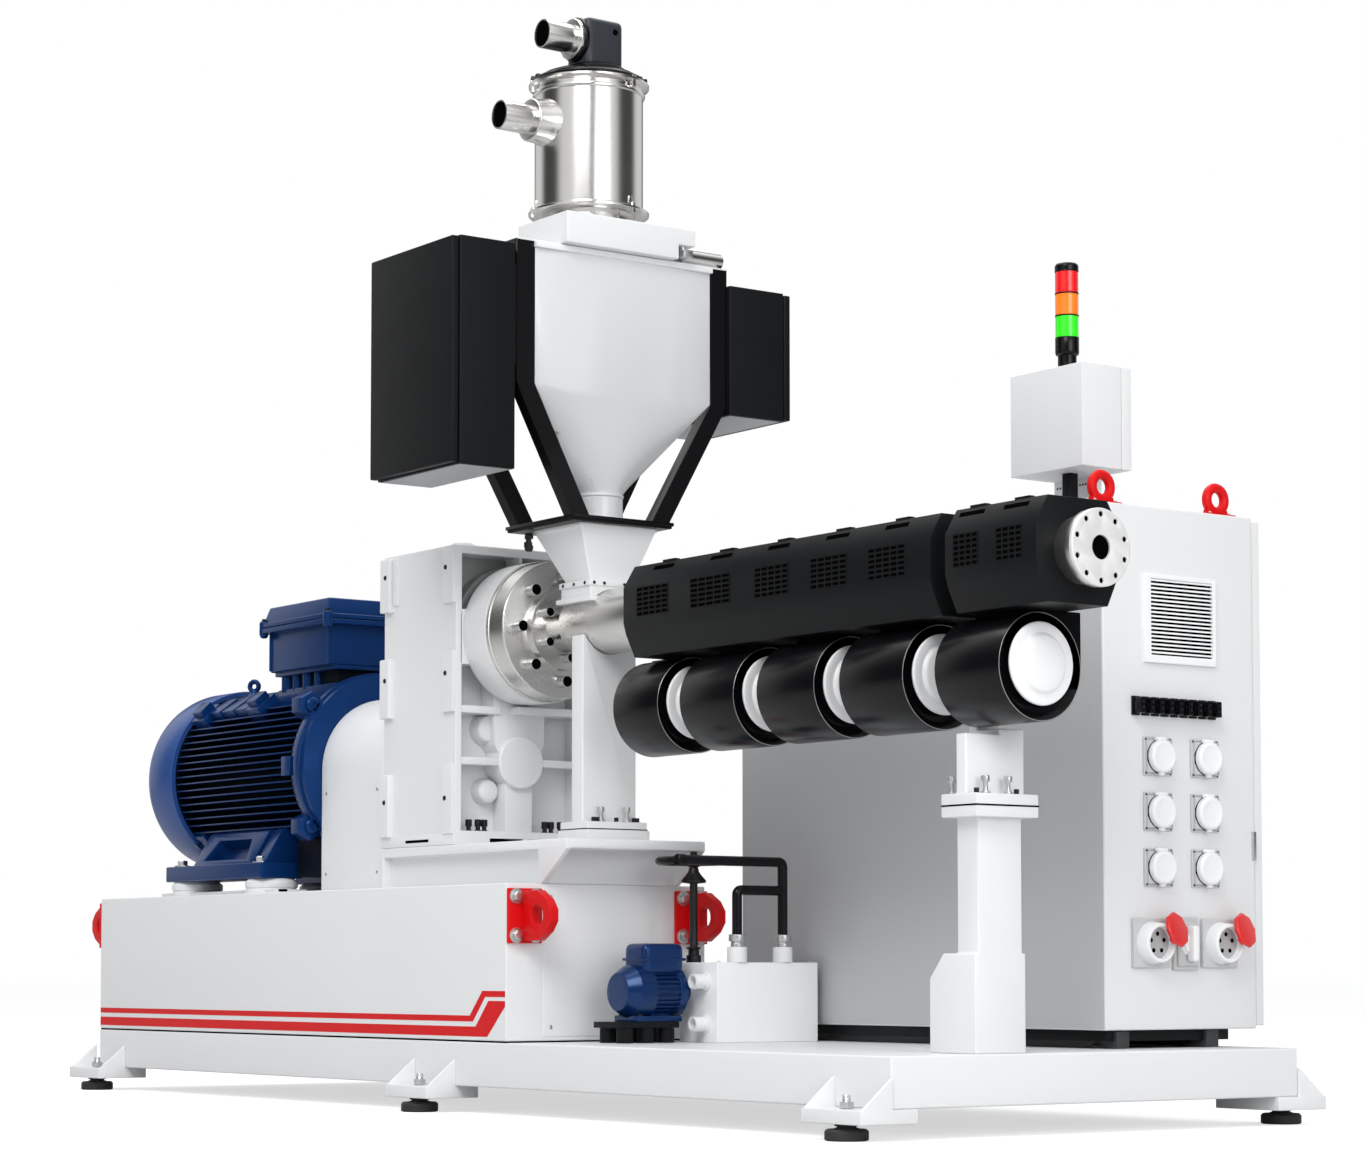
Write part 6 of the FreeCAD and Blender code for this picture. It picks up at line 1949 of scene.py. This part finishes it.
@dataclass
class Studio:
    """Floor, backdrop light and camera."""

    eye: tuple[float, float, float] = (4238.57, -3486.33, 289.9)
    azimuth: float = 54.29
    pitch: float = 3.57
    lens: float = 85.46
    shift: tuple[float, float] = (0.0019, 0.140)
    floor_reach: float = 60.0
    floor_lift: float = 0.62
    fill: float = 0.60

    def camera(self) -> None:
        """Sets the camera at the eye point, level and turned to the machine."""
        data = bpy.data.cameras.new("studio_camera")
        data.lens, data.sensor_width, data.sensor_fit = self.lens, 36.0, "HORIZONTAL"
        data.shift_x, data.shift_y = self.shift
        data.clip_start, data.clip_end = 0.05, 400.0
        cam = placed("studio_camera", data)
        a, e = math.radians(self.azimuth), math.radians(self.pitch)
        look = Vector((-math.sin(a) * math.cos(e), math.cos(a) * math.cos(e), math.sin(e)))
        cam.location = TO_ROW @ Vector(self.eye)
        cam.rotation_euler = look.to_track_quat("-Z", "Y").to_euler()
        bpy.context.scene.camera = cam

    def lamp(self, name: str, place: Point, aim: Point, size: tuple[float, float],
             power: float) -> None:
        """One soft rectangular light."""
        data = bpy.data.lights.new(name, "AREA")
        data.shape, data.size, data.size_y, data.energy = "RECTANGLE", size[0], size[1], power
        obj = placed(name, data)
        obj.location = place
        obj.rotation_euler = (Vector(aim) - Vector(place)).to_track_quat("-Z", "Y").to_euler()

    def floor(self) -> None:
        """A wide pale floor that fades into the surroundings."""
        deselect()
        bpy.ops.mesh.primitive_circle_add(vertices=64, radius=self.floor_reach, fill_type="NGON")
        obj = bpy.context.active_object
        obj.name = "studio_floor"
        mat = bpy.data.materials.new("studio_floor")
        mat.use_nodes = True
        tree = mat.node_tree
        shader = tree.nodes["Principled BSDF"]
        shader.inputs["Base Color"].default_value = (0.62, 0.62, 0.62, 1)
        shader.inputs["Roughness"].default_value = 0.55
        shader.inputs["Emission Color"].default_value = (1, 1, 1, 1)
        path = tree.nodes.new("ShaderNodeLightPath")
        lift = tree.nodes.new("ShaderNodeMath")
        lift.operation = "MULTIPLY"
        lift.inputs[1].default_value = self.floor_lift
        linked(tree, path.outputs["Is Camera Ray"], lift.inputs[0])
        linked(tree, lift.outputs[0], shader.inputs["Emission Strength"])
        obj.data.materials.append(mat)

    def sky(self) -> None:
        """A white surround, softer as a fill light, and banded light and dark as a reflection."""
        world = bpy.data.worlds.new("studio_surround")
        world.use_nodes = True
        tree = world.node_tree
        path = tree.nodes.new("ShaderNodeLightPath")
        fill = tree.nodes["Background"]
        fill.inputs["Color"].default_value = (0.97, 0.985, 1.0, 1)
        fill.inputs["Strength"].default_value = self.fill
        seen = tree.nodes.new("ShaderNodeBackground")
        seen.inputs["Color"].default_value = (1, 1, 1, 1)
        bands = self.bands(tree)
        glossy = tree.nodes.new("ShaderNodeMixShader")
        camera = tree.nodes.new("ShaderNodeMixShader")
        linked(tree, path.outputs["Is Glossy Ray"], glossy.inputs[0])
        linked(tree, fill.outputs[0], glossy.inputs[1])
        linked(tree, bands, glossy.inputs[2])
        linked(tree, path.outputs["Is Camera Ray"], camera.inputs[0])
        linked(tree, glossy.outputs[0], camera.inputs[1])
        linked(tree, seen.outputs[0], camera.inputs[2])
        linked(tree, camera.outputs[0], tree.nodes["World Output"].inputs["Surface"])
        bpy.context.scene.world = world

    def bands(self, tree: Tree) -> object:
        """Surround seen in reflections: tall soft light walls between dark gaps, bright overhead.

        Args:
            tree: the world's node tree.

        Returns:
            The background's output socket.
        """
        place = tree.nodes.new("ShaderNodeTexCoord")
        split = tree.nodes.new("ShaderNodeSeparateXYZ")
        linked(tree, place.outputs["Generated"], split.inputs[0])
        turn = tree.nodes.new("ShaderNodeMath")
        turn.operation = "ARCTAN2"
        linked(tree, split.outputs["Y"], turn.inputs[0])
        linked(tree, split.outputs["X"], turn.inputs[1])
        wave = tree.nodes.new("ShaderNodeMath")
        wave.operation = "MULTIPLY_ADD"
        wave.inputs[1].default_value, wave.inputs[2].default_value = 4.0, 0.9
        linked(tree, turn.outputs[0], wave.inputs[0])
        sine = tree.nodes.new("ShaderNodeMath")
        sine.operation = "SINE"
        linked(tree, wave.outputs[0], sine.inputs[0])
        wall = tree.nodes.new("ShaderNodeMapRange")
        wall.interpolation_type = "SMOOTHSTEP"
        for socket, value in (("From Min", -0.55), ("From Max", 0.75), ("To Min", 0.06),
                              ("To Max", 0.95)):
            wall.inputs[socket].default_value = value
        linked(tree, sine.outputs[0], wall.inputs["Value"])
        high = tree.nodes.new("ShaderNodeMapRange")
        high.interpolation_type = "SMOOTHSTEP"
        for socket, value in (("From Min", 0.30), ("From Max", 0.75), ("To Min", 0.0),
                              ("To Max", 0.55)):
            high.inputs[socket].default_value = value
        linked(tree, split.outputs["Z"], high.inputs["Value"])
        total = tree.nodes.new("ShaderNodeMath")
        total.operation = "ADD"
        linked(tree, wall.outputs[0], total.inputs[0])
        linked(tree, high.outputs[0], total.inputs[1])
        back = tree.nodes.new("ShaderNodeBackground")
        linked(tree, total.outputs[0], back.inputs["Strength"])
        return back.outputs[0]

    def build(self) -> None:
        """Sets up the whole studio."""
        self.camera()
        self.floor()
        self.sky()
        self.lamp("key", (4.5, -5.0, 6.0), (0, 0, 0.9), (4.0, 4.0), 370.0)
        self.lamp("top", (-1.0, 0.0, 6.5), (0, 0, 0), (6.0, 4.0), 165.0)
        self.lamp("side", (8.0, -1.0, 2.6), (0, 0, 0.9), (4.0, 3.0), 150.0)
        bpy.context.scene.view_settings.view_transform = "Standard"


def main() -> None:
    """Builds everything in order."""
    logging.basicConfig(level=logging.INFO, format="%(message)s")
    Studio().build()
    for part in (Base(), MotorBase(), Gearbox(), Barrel(), Posts(), Motor(), Hopper(), Loader(),
                 Cabinet(), WaterSet()):
        LOG.info("building %s", type(part).__name__)
        part.build()


if __name__ == "__main__":
    main()
